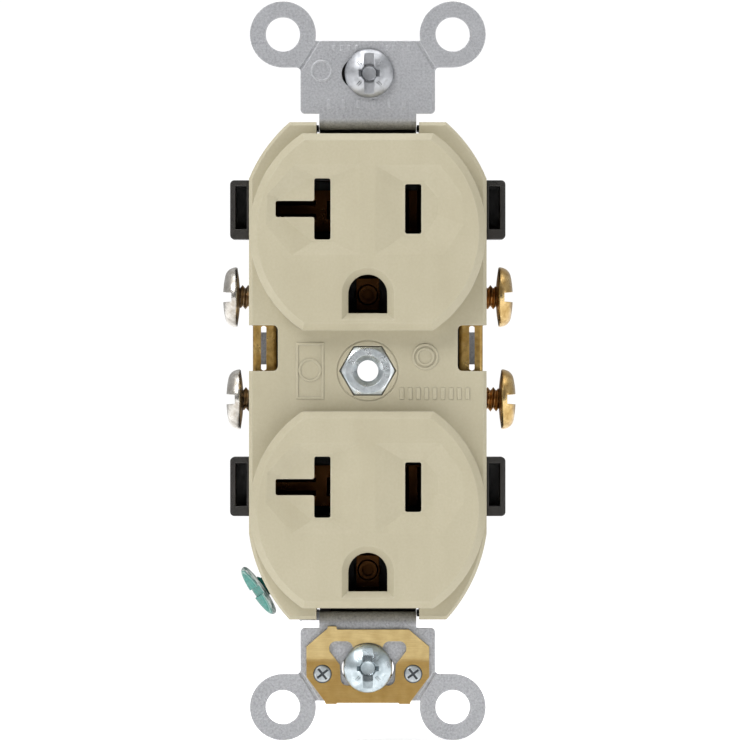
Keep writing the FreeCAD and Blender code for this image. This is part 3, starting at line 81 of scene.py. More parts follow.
class Look:
    """A material being built: short calls that add nodes and hand back their output sockets."""

    def __init__(self, name):
        self.material = bpy.data.materials.new(name)
        self.material.use_nodes = True
        self.tree = self.material.node_tree
        self.shader = self.tree.nodes["Principled BSDF"]
        self.place = self.node("ShaderNodeTexCoord").outputs["Object"]

    def node(self, kind, **settings):
        made = self.tree.nodes.new(kind)
        for key, setting in settings.items():
            setattr(made, key, setting)
        return made

    def join(self, source, target):
        self.tree.links.new(source, target)

    def feed(self, socket, source):
        """Link a socket, or set it when the source is a plain number or colour."""
        if isinstance(source, bpy.types.NodeSocket):
            self.join(source, socket)
        else:
            socket.default_value = source

    def noise(self, size_mm, detail=3.0, rough=0.55, stretch=(1, 1, 1), shift=0.0):
        """Noise whose lumps are about size_mm across, longer along an axis whose stretch is above 1."""
        mapping = self.node("ShaderNodeMapping")
        mapping.inputs["Scale"].default_value = [1 / s for s in stretch]
        mapping.inputs["Location"].default_value = (shift * MM, 0, 0)
        self.join(self.place, mapping.inputs["Vector"])
        texture = self.node("ShaderNodeTexNoise")
        texture.inputs["Scale"].default_value = 1 / (size_mm * MM)
        texture.inputs["Detail"].default_value = detail
        texture.inputs["Roughness"].default_value = rough
        self.join(mapping.outputs["Vector"], texture.inputs["Vector"])
        return texture.outputs["Fac"]

    def cells(self, size_mm):
        """Distance to the nearest of points scattered about size_mm apart, as a share of that."""
        texture = self.node("ShaderNodeTexVoronoi")
        texture.inputs["Scale"].default_value = 1 / (size_mm * MM)
        self.join(self.place, texture.inputs["Vector"])
        return texture.outputs["Distance"]

    def band(self, source, low, high, to_low=0.0, to_high=1.0):
        """Rescale low..high of a value to to_low..to_high, held at the ends."""
        scale = self.node("ShaderNodeMapRange", clamp=True)
        self.feed(scale.inputs["Value"], source)
        for socket, number in zip(RANGE_SOCKETS, (low, high, to_low, to_high)):
            scale.inputs[socket].default_value = number
        return scale.outputs["Result"]

    def math(self, operation, first, second=0.0):
        made = self.node("ShaderNodeMath", operation=operation)
        self.feed(made.inputs[0], first)
        self.feed(made.inputs[1], second)
        return made.outputs["Value"]

    def mix(self, factor, first, second):
        made = self.node("ShaderNodeMix", data_type="RGBA")
        self.feed(made.inputs[0], factor)
        for socket, colour in zip((made.inputs[6], made.inputs[7]), (first, second)):
            self.feed(socket, colour if isinstance(colour, bpy.types.NodeSocket) else (*colour, 1))
        return made.outputs[2]

    def along(self, axis):
        """A coordinate of the piece's own frame in millimetres."""
        split = self.node("ShaderNodeSeparateXYZ")
        self.join(self.place, split.inputs[0])
        return self.math("MULTIPLY", split.outputs[axis], 1 / MM)

    def radius(self):
        """Distance from the piece's own Z axis in millimetres."""
        x = self.along("X")
        y = self.along("Y")
        square = self.math("ADD", self.math("MULTIPLY", x, x), self.math("MULTIPLY", y, y))
        return self.math("SQRT", square)

    def inside_housing(self):
        """Mask of painted shade: 1 on what lies behind the cover, 0 on the window strips, the terminal
        plates and the rear.
        """
        across = self.math("ABSOLUTE", self.along("X"))
        back = self.along("Y")
        behind = self.band(back, *IN_DEPTH)
        short_of_plates = self.band(across, *AT_PLATES, 1.0, 0.0)
        inner = self.band(across, *AT_WINDOWS, 1.0, 0.0)
        hidden = self.math("MAXIMUM", inner, self.math("MULTIPLY", behind, short_of_plates))
        return self.math("MULTIPLY", hidden, self.band(back, *AT_REAR, 1.0, 0.0))

    def relief(self, source, depth_mm, soft_mm, below=None):
        """Bump of a given depth on top of edges rounded by soft_mm, or on top of another relief."""
        bump = self.node("ShaderNodeBump")
        bump.inputs["Strength"].default_value = 1.0
        bump.inputs["Distance"].default_value = depth_mm * MM
        self.feed(bump.inputs["Height"], source)
        if below is None:
            round_edge = self.node("ShaderNodeBevel", samples=6)
            round_edge.inputs["Radius"].default_value = soft_mm * MM
            below = round_edge.outputs["Normal"]
        self.join(below, bump.inputs["Normal"])
        return bump.outputs["Normal"]

    def corners(self, radius_mm):
        """0 on flats and up to 1 along sharp edges, where handling wears or brightens the surface and where
        the ivory takes a painted highlight.
        """
        wide = self.node("ShaderNodeBevel", samples=8)
        wide.inputs["Radius"].default_value = radius_mm * MM
        plain = self.node("ShaderNodeNewGeometry")
        apart = self.node("ShaderNodeVectorMath", operation="DISTANCE")
        self.join(wide.outputs["Normal"], apart.inputs[0])
        self.join(plain.outputs["Normal"], apart.inputs[1])
        return self.band(apart.outputs["Value"], 0.12, 0.7)

    def finish(self, colour, roughness, normal, metallic=0.0, specular=0.5):
        self.feed(self.shader.inputs["Base Color"], colour)
        self.feed(self.shader.inputs["Roughness"], roughness)
        self.shader.inputs["Metallic"].default_value = metallic
        self.shader.inputs["Specular IOR Level"].default_value = specular
        self.join(normal, self.shader.inputs["Normal"])
        return self.material


def ivory_plastic():
    """Moulded nylon: cloudy over about a centimetre, with a satin grain and edges made paler by a painted
    highlight.
    """
    look = Look("ivory_plastic")
    cloud = look.band(look.noise(9.0, 4), 0.3, 0.7)
    flow = look.band(look.noise(3.0, 3, stretch=(1, 1, 6)), 0.35, 0.65)
    speck = look.band(look.noise(0.35, 2), 0.35, 0.65)
    base = look.mix(cloud, (0.385, 0.348, 0.242), (0.420, 0.383, 0.272))
    base = look.mix(look.math("MULTIPLY", flow, 0.35), base, (0.445, 0.408, 0.296))
    base = look.mix(look.math("MULTIPLY", speck, 0.25), base, (0.35, 0.31, 0.21))
    # painted highlight: paler colour along the edges
    base = look.mix(look.math("MULTIPLY", look.corners(0.45), 0.35), base, (0.54, 0.50, 0.385))
    roughness = look.band(look.noise(1.2, 4), 0.3, 0.7, 0.40, 0.56)
    grain = look.relief(look.noise(0.16, 2), 0.006, 0.16)
    sink = look.relief(look.noise(7.0, 2), 0.05, 0.16, grain)
    return look.finish(base, roughness, sink, specular=0.45)


def black_plastic():
    """Moulded phenolic: near black and cloudy, with a dusty bloom on the edges."""
    look = Look("black_plastic")
    cloud = look.band(look.noise(4.0, 4), 0.35, 0.65)
    base = look.mix(cloud, (0.010, 0.009, 0.008), (0.022, 0.019, 0.017))
    base = look.mix(look.math("MULTIPLY", look.corners(0.3), 0.5), base, (0.040, 0.037, 0.034))
    roughness = look.band(look.noise(0.8, 4), 0.3, 0.7, 0.32, 0.52)
    grain = look.relief(look.noise(0.25, 3), 0.010, 0.18)
    return look.finish(base, roughness, grain, specular=0.5)


def scaled(colour, times):
    """A colour made brighter or darker."""
    return [min(part * times, BRIGHTEST) for part in colour]


def sheet_steel(name, dark, light, rough_low, rough_high):
    """Galvanised sheet: fine dark and light mottling, rolled streaks, pits and bright sheared edges."""
    look = Look(name)
    mottle = look.band(look.noise(0.32, 5, 0.72), 0.36, 0.64)
    patch = look.band(look.noise(2.6, 4), 0.35, 0.65)
    streak = look.band(look.noise(0.22, 3, stretch=(10, 1, 1)), 0.3, 0.7)
    pit = look.band(look.cells(0.75), 0.0, 0.12, 1.0, 0.0)
    rare = look.band(look.noise(1.5, 2, shift=40), 0.56, 0.62)
    base = look.mix(mottle, dark, light)
    base = look.mix(look.math("MULTIPLY", patch, 0.25), base, light)
    base = look.mix(look.math("MULTIPLY", streak, 0.16), base, dark)
    base = look.mix(look.math("MULTIPLY", pit, rare), base, scaled(dark, 0.25))
    worn = look.math("MULTIPLY", look.corners(0.25), 0.5)
    base = look.mix(worn, base, scaled(light, 1.25))
    roughness = look.band(mottle, 0.0, 1.0, rough_high, rough_low)
    fine = look.relief(look.noise(0.22, 4, 0.65), 0.016, 0.14)
    wave = look.relief(look.noise(2.2, 3), 0.03, 0.14, fine)
    return look.finish(base, roughness, wave, metallic=0.85)


def plated(name, dark, light, stain, rough_low, rough_high, stained=0.35, painted_shade_inside=None):
    """Plated or bare metal: drawn scratches, finger stains, bright worn edges, painted shade in the
    housing.
    """
    look = Look(name)
    cloud = look.band(look.noise(1.6, 4), 0.32, 0.68)
    scratch = look.band(look.noise(0.09, 3, stretch=(1, 1, 9)), 0.42, 0.60)
    blot = look.band(look.noise(0.9, 4, shift=15), 0.48, 0.68)
    base = look.mix(cloud, dark, light)
    base = look.mix(look.math("MULTIPLY", blot, stained), base, stain)
    base = look.mix(look.math("MULTIPLY", look.corners(0.18), 0.5), base, scaled(light, 1.2))
    # painted shade: brass deep inside the housing is darkened where light hardly reaches
    if painted_shade_inside:
        base = look.mix(look.inside_housing(), base, painted_shade_inside)
    roughness = look.band(cloud, 0.0, 1.0, rough_high, rough_low)
    fine = look.relief(scratch, 0.004, 0.08)
    dents = look.relief(look.noise(0.7, 2), 0.018, 0.08, fine)
    return look.finish(base, roughness, dents, metallic=1.0)


def screw_metal(name, dark, light, stain, thread_and_shade_colour, rough_low, rough_high, shaded_out=None):
    """Metal of a turned screw: its thread takes thread_and_shade_colour, and the ring under its head takes
    it as painted shade, less so toward the rim. shaded_out is how far painted shade reaches in a
    combination drive, round its unshaded centre."""
    look = Look(name)
    cloud = look.band(look.noise(1.3, 4), 0.32, 0.68)
    blot = look.band(look.noise(0.7, 4, shift=15), 0.50, 0.70)
    lathe = look.band(look.noise(0.12, 2, stretch=(8, 8, 1)), 0.40, 0.62)
    base = look.mix(cloud, dark, light)
    base = look.mix(look.math("MULTIPLY", blot, 0.5), base, stain)
    height = look.along("Z")
    radius = look.radius()
    # painted shade: the thread's colour also darkens the ring under the head, most by the shank
    below = look.band(height, -0.05, 0.45, 1.0, 0.0)
    near = look.band(radius, 2.1, 3.2, 1.0, 0.0)
    shade = look.math("MULTIPLY", below, look.band(near, 0.0, 1.0, 0.25, 1.0))
    base = look.mix(shade, base, thread_and_shade_colour)
    # painted shade: the combination drive's recess is darkened round its unshaded centre
    if shaded_out:
        deep = look.band(height, 1.02, 1.30, 1.0, 0.0)
        outer = look.band(radius, shaded_out, shaded_out + 0.25, 1.0, 0.0)
        ring = look.math("MULTIPLY", look.band(radius, 0.93, 1.03), outer)
        in_head = look.band(height, 0.25, 0.35)
        drive_shade = look.math("MULTIPLY", look.math("MULTIPLY", deep, ring), in_head)
        base = look.mix(look.math("MULTIPLY", drive_shade, 0.80), base, scaled(dark, 0.12))
    base = look.mix(look.math("MULTIPLY", look.corners(0.12), 0.4), base, scaled(light, 1.2))
    roughness = look.band(cloud, 0.0, 1.0, rough_high, rough_low)
    fine = look.relief(lathe, 0.003, 0.09)
    dents = look.relief(look.noise(0.9, 3), 0.012, 0.09, fine)
    return look.finish(base, roughness, dents, metallic=1.0)


def green_screw():
    """Green paint on the head's face and shank, worn to metal on the side of the head, where its light and
    dark streaks are a painted reflection.
    """
    look = Look("green_paint")
    radius = look.radius()
    height = look.along("Z")
    worn = look.math("ADD", radius, look.band(look.noise(0.4, 4), 0.2, 0.8, -0.15, 0.15))
    side = look.math("MULTIPLY", look.band(worn, 3.55, 3.80), look.band(height, 0.0, 0.1))
    outline = look.math("MULTIPLY", look.band(worn, 3.15, 3.35), look.band(worn, 3.45, 3.60, 1.0, 0.0))
    thick = look.band(look.noise(0.5, 4), 0.3, 0.7)
    paint = look.mix(thick, (0.003, 0.135, 0.108), (0.014, 0.245, 0.200))
    # painted reflection: light and dark streaks on the bare side of the head, where the paint is worn
    streak = look.band(look.noise(0.25, 4, stretch=(6, 6, 1)), 0.38, 0.60)
    worn_metal_reflection = look.mix(streak, (0.05, 0.09, 0.08), (0.42, 0.46, 0.44))
    base = look.mix(look.math("MULTIPLY", outline, 0.5), paint, (0.36, 0.46, 0.42))
    base = look.mix(side, base, worn_metal_reflection)
    shank = look.band(height, -0.1, 0.1, 1.0, 0.0)
    base = look.mix(look.math("MULTIPLY", shank, 0.8), base, (0.006, 0.09, 0.075))
    roughness = look.band(look.noise(0.6, 4), 0.3, 0.7, 0.38, 0.58)
    fine = look.relief(look.noise(0.25, 3), 0.010, 0.10)
    return look.finish(base, roughness, fine, specular=0.12)


def clip_brass(bend):
    """Yellow strip: the part bent forward above the bend line is paler, a painted highlight, and more
    orange below it.
    """
    look = Look("clip_brass")
    cloud = look.band(look.noise(1.6, 4), 0.32, 0.68)
    rolled = look.band(look.noise(0.16, 3, stretch=(12, 1, 1)), 0.38, 0.62)
    lower = look.mix(cloud, (0.36, 0.225, 0.070), (0.43, 0.285, 0.100))
    upper = look.mix(cloud, (0.47, 0.350, 0.155), (0.54, 0.415, 0.200))
    # painted highlight: the part above the bend line takes paler colours, as if more brightly lit
    base = look.mix(look.band(look.along("Z"), bend - 0.5, bend + 0.3), lower, upper)
    base = look.mix(look.math("MULTIPLY", rolled, 0.20), base, (0.26, 0.16, 0.05))
    base = look.mix(look.math("MULTIPLY", look.corners(0.18), 0.5), base, (0.58, 0.45, 0.23))
    fine = look.relief(rolled, 0.004, 0.08)
    dents = look.relief(look.noise(1.8, 2), 0.012, 0.08, fine)
    return look.finish(base, look.band(cloud, 0.0, 1.0, 0.48, 0.36), dents, metallic=1.0)


def staked_zinc(front):
    """Zinc rivet head whose staked cross, a little behind its front, is darkened with painted shade."""
    look = Look("staked_zinc")
    cloud = look.band(look.noise(0.7, 4), 0.32, 0.68)
    base = look.mix(cloud, (0.34, 0.37, 0.39), (0.56, 0.60, 0.62))
    # painted shade: the recessed cross is darkened
    deep = look.band(look.along("Y"), front + 0.10, front + 0.22)
    base = look.mix(look.math("MULTIPLY", deep, 0.9), base, (0.035, 0.04, 0.045))
    fine = look.relief(look.noise(0.3, 3), 0.008, 0.08)
    return look.finish(base, look.band(cloud, 0.0, 1.0, 0.46, 0.30), fine, metallic=1.0)


def fibre():
    """Vulcanised fibre washer: near-black pressed paper with a felted surface."""
    look = Look("fibre")
    felt = look.band(look.noise(0.3, 5, 0.7, stretch=(3, 1, 1)), 0.3, 0.7)
    base = look.mix(felt, (0.020, 0.018, 0.016), (0.045, 0.041, 0.037))
    fine = look.relief(felt, 0.02, 0.12)
    return look.finish(base, look.band(felt, 0, 1, 0.85, 0.65), fine, specular=0.3)


GALVANISED = sheet_steel("galvanised_steel", (0.30, 0.305, 0.32), (0.50, 0.505, 0.525), 0.42, 0.62)
ZINC = plated("zinc_plated_steel", (0.46, 0.50, 0.52), (0.80, 0.84, 0.86), (0.34, 0.40, 0.42), 0.22, 0.40)
BRASS = plated("brass", (0.31, 0.185, 0.050), (0.54, 0.365, 0.130), (0.15, 0.08, 0.025), 0.26, 0.44,
               stained=0.6, painted_shade_inside=(0.11, 0.045, 0.014))
# height of the clip's bend line in millimetres
CLIP_BEND = -40.4
CLIP_BRASS = clip_brass(CLIP_BEND)
RIVET_ZINC = staked_zinc(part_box("clip_rivet_left")[0].y / MM)
NICKEL_SCREW = screw_metal("nickel_plate", (0.36, 0.335, 0.30), (0.66, 0.635, 0.59), (0.30, 0.25, 0.18),
                           (0.32, 0.24, 0.15), 0.22, 0.42)
BRASS_SCREW = screw_metal("brass_screw", (0.38, 0.24, 0.08), (0.66, 0.48, 0.22), (0.24, 0.13, 0.04),
                          (0.40, 0.22, 0.08), 0.24, 0.42)
ZINC_SCREW = screw_metal("zinc_screw", (0.34, 0.40, 0.43), (0.60, 0.67, 0.71), (0.28, 0.34, 0.36),
                         (0.34, 0.37, 0.38), 0.24, 0.42, shaded_out=1.75)
MATTE_SCREW = screw_metal("matte_zinc", (0.34, 0.35, 0.37), (0.50, 0.51, 0.535), (0.24, 0.245, 0.255),
                          (0.32, 0.32, 0.33), 0.38, 0.52, shaded_out=1.25)
GREEN = green_screw()
IVORY = ivory_plastic()
BLACK = black_plastic()
FIBRE = fibre()

NODE_LOOKS = {
    "front_cover": IVORY, "back_body": BLACK, "mounting_strap": GALVANISED, "center_rivet": ZINC,
    "hot_bus": BRASS, "neutral_bus": BRASS, "upper_ground_contact": BRASS, "lower_ground_contact": BRASS,
    "upper_ground_rivet": BRASS, "lower_ground_rivet": BRASS, "self_grounding_clip": CLIP_BRASS,
    "clip_rivet_left": RIVET_ZINC, "clip_rivet_right": RIVET_ZINC, "ground_clamp": GALVANISED,
    "top_retaining_washer": FIBRE, "bottom_retaining_washer": FIBRE,
}


# a node that isn't listed is brass: a terminal's clamp plate, or a screw that a detailed piece stands for
for name, node in frame["nodes"].items():
    node.data.materials.clear()
    node.data.materials.append(NODE_LOOKS.get(name, BRASS))


# ---------------------------------------------------------------- mesh helpers, in millimetres

SHARP_ABOVE_DEGREES = 32
# steps round the rods and wells, and round the mounting screws' heads
SMALL_ROUND = 48
LARGE_ROUND = 128
# a thread's flanks: how fast they fall from the crest, the rows over which they fade in at the top and out
# at the bottom, and the share of the depth at which the faded rod lies
FLANK_STEEP = 2.4
FADE_TOP_ROWS = 3
FADE_BOTTOM_ROWS = 4
FADED_SHARE = 0.9


def mesh_object(name, bm):
    mesh = bpy.data.meshes.new(name)
    bm.to_mesh(mesh)
    bm.free()
    made = bpy.data.objects.new(name, mesh)
    bpy.context.scene.collection.objects.link(made)
    return made


def lathe(bm, profile, segments=96):
    """Closed solid turned about Z from (radius, height) points that start and end on the axis."""
    rings = []
    for radius, height in profile:
        if radius == 0:
            rings.append([bm.verts.new((0, 0, height))])
            continue
        ring = []
        for step in range(segments):
            angle = 2 * math.pi * step / segments
            ring.append(bm.verts.new((radius * math.cos(angle), radius * math.sin(angle), height)))
        rings.append(ring)
    for upper, lower in zip(rings, rings[1:]):
        for step in range(segments):
            following = (step + 1) % segments
            if len(upper) == 1:
                bm.faces.new((upper[0], lower[step], lower[following]))
            elif len(lower) == 1:
                bm.faces.new((upper[step], lower[0], upper[following]))
            else:
                bm.faces.new((upper[step], lower[step], lower[following], upper[following]))


def helical_thread(bm, radius, depth, pitch, top, bottom, around=SMALL_ROUND, per_turn=12):
    """Threaded rod from height top down to bottom: its radius follows the thread's phase."""
    rows = max(2, round((top - bottom) / pitch * per_turn))
    rings = []
    for row in range(rows + 1):
        height = top + (bottom - top) * row / rows
        fade = min(1.0, row / FADE_TOP_ROWS, (rows - row) / FADE_BOTTOM_ROWS)
        ring = []
        for step in range(around):
            phase = (height / pitch + step / around) % 1.0
            flank = min(abs(phase - 0.5) * FLANK_STEEP, 1.0)
            reach = radius - depth * flank * fade - depth * (1 - fade) * FADED_SHARE
            angle = 2 * math.pi * step / around
            ring.append(bm.verts.new((reach * math.cos(angle), reach * math.sin(angle), height)))
        rings.append(ring)
    for upper, lower in zip(rings, rings[1:]):
        for step in range(around):
            following = (step + 1) % around
            bm.faces.new((upper[step], lower[step], lower[following], upper[following]))
    bm.faces.new(rings[0])
    bm.faces.new(list(reversed(rings[-1])))


def frustum(half_low, half_high, low, high):
    """Block between two rectangles, given by half sizes, at heights low and high."""
    bm = bmesh.new()
    rings = []
    for half, height in ((half_low, low), (half_high, high)):
        corners = ((1, 1), (-1, 1), (-1, -1), (1, -1))
        rings.append([bm.verts.new((x * half[0], y * half[1], height)) for x, y in corners])
    for step in range(4):
        following = (step + 1) % 4
        bm.faces.new((rings[0][step], rings[0][following], rings[1][following], rings[1][step]))
    bm.faces.new(list(reversed(rings[0])))
    bm.faces.new(rings[1])
    return bm


def applied(target):
    """Replace the object's mesh by what its modifiers make of it."""
    graph = bpy.context.evaluated_depsgraph_get()
    graph.update()
    mesh = bpy.data.meshes.new_from_object(target.evaluated_get(graph))
    target.modifiers.clear()
    target.data = mesh


def cut(target, *cutters):
    """Take the cutters out of the target and delete them."""
    for number, cutter in enumerate(cutters):
        change = target.modifiers.new(f"cut{number}", "BOOLEAN")
        change.operation = "DIFFERENCE"
        change.solver = "EXACT"
        change.object = cutter
    applied(target)
    for cutter in cutters:
        bpy.data.objects.remove(cutter)


def merge(name, *pieces):
    """One object from several closed ones."""
    bm = bmesh.new()
    for piece in pieces:
        bm.from_mesh(piece.data)
        bpy.data.objects.remove(piece)
    return mesh_object(name, bm)


def finish_piece(piece, material):
    """Material, metres instead of millimetres, and smooth shading except over sharp edges."""
    piece.data.materials.clear()
    piece.data.materials.append(material)
    piece.data.transform(Matrix.Scale(MM, 4))
    for face in piece.data.polygons:
        face.use_smooth = True
    piece.data.set_sharp_from_angle(angle=math.radians(SHARP_ABOVE_DEGREES))


def stand_for(piece, node, place):
    """Put a detailed piece where its CAD node is, moving with the node's own body."""
    piece.matrix_world = place
    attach(piece, node)
    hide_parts(node)


# ---------------------------------------------------------------- screws

THREAD_RADIUS = 1.75
THREAD_DEPTH = 0.45
THREAD_PITCH = 0.794
# how far a rod or neck reaches into what it joins
OVERLAP = 0.05

# terminal and ground screws: the drive slot's half widths, the point at which the head's underside changes
# slope, the journal and its staked end
SLOT_HALF_FLOOR = 0.62
SLOT_HALF_TOP = 0.74
SLOT_PAST_HEAD = 1
SLOT_ABOVE_HEAD = 0.5
UNDERSIDE_SHARE = 0.62
UNDERSIDE_RISE = 0.10
JOURNAL_RADIUS = 1.1
JOURNAL_LONG = 1.15
JOURNAL_OVERLAP = 0.1
STAKED_RADIUS = 1.65
STAKED_TIP_RADIUS = 1.45
STAKED_LONG = 0.5
# (radius, height) of the head's underside near the shank
HEAD_ROOT = [(1.62, 0.0), (1.30, -0.02), (0, -0.02)]

# (radius, height) of a screw head's outside from its middle to its rim, as shares of the head's own size
PAN_HEAD = (
    (0.0, 1.0), (0.23, 0.992), (0.46, 0.953), (0.62, 0.905), (0.73, 0.862), (0.81, 0.80), (0.875, 0.71),
    (0.925, 0.61), (0.957, 0.50), (0.982, 0.37), (0.995, 0.26), (0.992, 0.19), (0.972, 0.135),
)
FLAT_HEAD = (
    (0.0, 1.0), (0.55, 0.985), (0.84, 0.955), (0.91, 0.90), (0.96, 0.79), (0.99, 0.64), (1.0, 0.48),
    (0.99, 0.36), (0.965, 0.27),
)


def terminal_screw(label, material, shape, head, high, thread, slot_deep):
    """Slotted head, a real helical thread and the journal that carries the clamp plate."""
    turn = JOINTS[f"{label}_turn"]
    underside = turn["pos_m"]
    bm = bmesh.new()
    outside = [(head * across, high * up) for across, up in shape]
    lathe(bm, outside + [(head * UNDERSIDE_SHARE, UNDERSIDE_RISE)] + HEAD_ROOT)
    head_piece = mesh_object(f"{label}_head", bm)
    through = head + SLOT_PAST_HEAD
    floor = (SLOT_HALF_FLOOR, through)
    mouth = (SLOT_HALF_TOP, through)
    driver = frustum(floor, mouth, high - slot_deep, high + SLOT_ABOVE_HEAD)
    cut(head_piece, mesh_object("driver", driver))

    bm = bmesh.new()
    helical_thread(bm, THREAD_RADIUS, THREAD_DEPTH, THREAD_PITCH, OVERLAP, -thread)
    rod = mesh_object("rod", bm)
    bm = bmesh.new()
    start = -thread + JOURNAL_OVERLAP
    tip = -thread - JOURNAL_LONG
    end = tip - STAKED_LONG
    bearing = [(0, start), (JOURNAL_RADIUS, start), (JOURNAL_RADIUS, tip)]
    staked = [(STAKED_RADIUS, tip), (STAKED_TIP_RADIUS, end), (0, end)]
    lathe(bm, bearing + staked, SMALL_ROUND)
    journal = mesh_object("journal", bm)
    piece = merge(f"{label}_detail", head_piece, rod, journal)
    finish_piece(piece, material)

    along = Vector(turn["axis"]).normalized()
    side = Vector((0, 1, 0)).cross(along).normalized()
    forward = along.cross(side)
    place = Matrix((
        (side.x, forward.x, along.x, underside[0]),
        (side.y, forward.y, along.y, underside[1]),
        (side.z, forward.z, along.z, underside[2]),
        (0, 0, 0, 1),
    ))
    stand_for(piece, label, place)


# mounting screws: the neck, and the head's outline in shares of its own size, or in millimetres
NECK_RADIUS = 1.3
NECK_LONG = 3.0
DOME_STEPS = 12
DOME_REACH_SHARE = 0.965
DOME_DROP_SHARE = 0.66
DOME_POWER = 2.2
RIM_SHARE = 0.24
RIM_LOW = 0.12
RIM_CHAMFER = 0.10
UNDERSIDE_RADIUS = 1.6

# their combination drive: half sizes, radii and depths below the crown, how far the cutters stick out, and
# the shares of the crown's height at which the slot and the ticks end
CUTTER_ABOVE = 0.3
CUTTER_PAST_HEAD = 0.6
FULL_SLOT_HALF_FLOOR = 0.66
FULL_SLOT_HALF_TOP = 0.80
FULL_SLOT_SHARE = 0.52
CROSS_DEEP = 1.35
CROSS_FLOOR_WIDE_SHARE = 0.55
CROSS_FLOOR_LONG_SHARE = 0.45
WELL_TOP_RADIUS = 1.28
WELL_FLOOR_RADIUS = 0.95
WELL_DEEP = 1.45
WELL_MIDDLE_DEEP = 1.52
TICK_FLOOR = (0.36, 0.02)
TICK_TOP = (0.44, 0.075)
TICK_SHARE = 0.60
TICK_OUT = 2.0
TICK_ASIDE = 0.13


def turn_cutter(bm, degrees):
    """Turn a cutter about the screw's axis."""
    turn = Matrix.Rotation(math.radians(degrees), 3, "Z")
    bmesh.ops.rotate(bm, verts=bm.verts, cent=(0, 0, 0), matrix=turn)


def crowned_head(label, head, crown_height):
    """Head of a mounting screw, with its underside at height 0: a dome over a low rim."""
    dome = []
    for step in range(DOME_STEPS + 1):
        share = step / DOME_STEPS
        height = crown_height * (1 - DOME_DROP_SHARE * share ** DOME_POWER)
        dome.append((head * DOME_REACH_SHARE * share, height))
    rim = [(head, crown_height * RIM_SHARE), (head, RIM_LOW), (head - RIM_CHAMFER, 0.0)]
    bm = bmesh.new()
    lathe(bm, dome + rim + [(UNDERSIDE_RADIUS, 0.0), (0, 0.0)], LARGE_ROUND)
    return mesh_object(f"{label}_head", bm)


def drive_cutters(head, crown_height, arm_half):
    """A full slot, a tapered cross, a round well and four pairs of ticks, to be cut out of the crown."""
    top = crown_height + CUTTER_ABOVE
    through = head + CUTTER_PAST_HEAD
    slot_floor = (FULL_SLOT_HALF_FLOOR, through)
    slot_mouth = (FULL_SLOT_HALF_TOP, through)
    slot = frustum(slot_floor, slot_mouth, crown_height * FULL_SLOT_SHARE, top)
    cutters = [mesh_object("slot", slot)]
    wide, long = arm_half
    arm_floor = (wide * CROSS_FLOOR_WIDE_SHARE, long * CROSS_FLOOR_LONG_SHARE)
    for turn in (0, 90):
        arm = frustum(arm_floor, arm_half, crown_height - CROSS_DEEP, top)
        turn_cutter(arm, turn)
        cutters.append(mesh_object(f"arm{turn}", arm))
    well_floor = [(WELL_FLOOR_RADIUS, crown_height - WELL_DEEP), (0, crown_height - WELL_MIDDLE_DEEP)]
    well = bmesh.new()
    lathe(well, [(0, top), (WELL_TOP_RADIUS, top)] + well_floor, SMALL_ROUND)
    cutters.append(mesh_object("well", well))
    for turn in (45, 135, 225, 315):
        for aside in (-TICK_ASIDE, TICK_ASIDE):
            tick = frustum(TICK_FLOOR, TICK_TOP, crown_height * TICK_SHARE, top)
            bmesh.ops.translate(tick, verts=tick.verts, vec=(TICK_OUT, aside, 0))
            turn_cutter(tick, turn)
            cutters.append(mesh_object(f"tick{turn}", tick))
    return cutters


def mounting_screw(label, material, arm_half):
    """Crowned head with a combination drive, a slim neck and a real helical thread. arm_half is half the
    width and half the length of the drive's cross at its mouth."""
    joint = JOINTS[label.replace("mounting_screw", "screw_turn")]
    low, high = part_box(label)
    x, under, z = joint["pos_m"]
    crown_height = -(low.y / MM) + under / MM
    length = high.y / MM - under / MM
    head = (high.x - low.x) / 2 / MM
    head_piece = crowned_head(label, head, crown_height)
    cut(head_piece, *drive_cutters(head, crown_height, arm_half))

    bm = bmesh.new()
    neck_end = -NECK_LONG - OVERLAP
    sides = [(NECK_RADIUS, OVERLAP), (NECK_RADIUS, neck_end)]
    lathe(bm, [(0, OVERLAP)] + sides + [(0, neck_end)], SMALL_ROUND)
    neck = mesh_object("neck", bm)
    bm = bmesh.new()
    helical_thread(bm, THREAD_RADIUS, THREAD_DEPTH, THREAD_PITCH, -NECK_LONG, -length)
    rod = mesh_object("rod", bm)
    piece = merge(f"{label}_detail", head_piece, neck, rod)
    finish_piece(piece, material)
    place = Matrix(((1, 0, 0, x), (0, 0, -1, under), (0, 1, 0, z), (0, 0, 0, 1)))
    stand_for(piece, label, place)


for pole, material, slot_name in (("hot", BRASS_SCREW, "brass"), ("neutral", NICKEL_SCREW, "nickel_plate")):
    for level in ("upper", "lower"):
        label = f"{level}_{pole}_screw"
        terminal_screw(
            label, material, PAN_HEAD, head=4.25, high=2.35, thread=5.0, slot_deep=1.2
        )
terminal_screw(
    "ground_screw", GREEN, FLAT_HEAD, head=3.95, high=1.1, thread=5.6, slot_deep=0.42
)
mounting_screw("top_mounting_screw", MATTE_SCREW, arm_half=(0.60, 1.8))
mounting_screw("bottom_mounting_screw", ZINC_SCREW, arm_half=(0.42, 1.9))


# ---------------------------------------------------------------- stage, lights, camera

FLOOR_HALF = 0.9
FLOOR_GAP = 0.0002
FLOOR_GLOW = 0.56
BACKDROP_STRENGTH = 1.05
# the tent's strength by direction: the axis, where its ramp starts and ends, and the strength at both ends
TENT_RAMPS = (
    ("Y", -1.0, -0.35, 0.08, 0.66),
    ("Z", -0.7, 0.8, 0.45, 1.25),
)

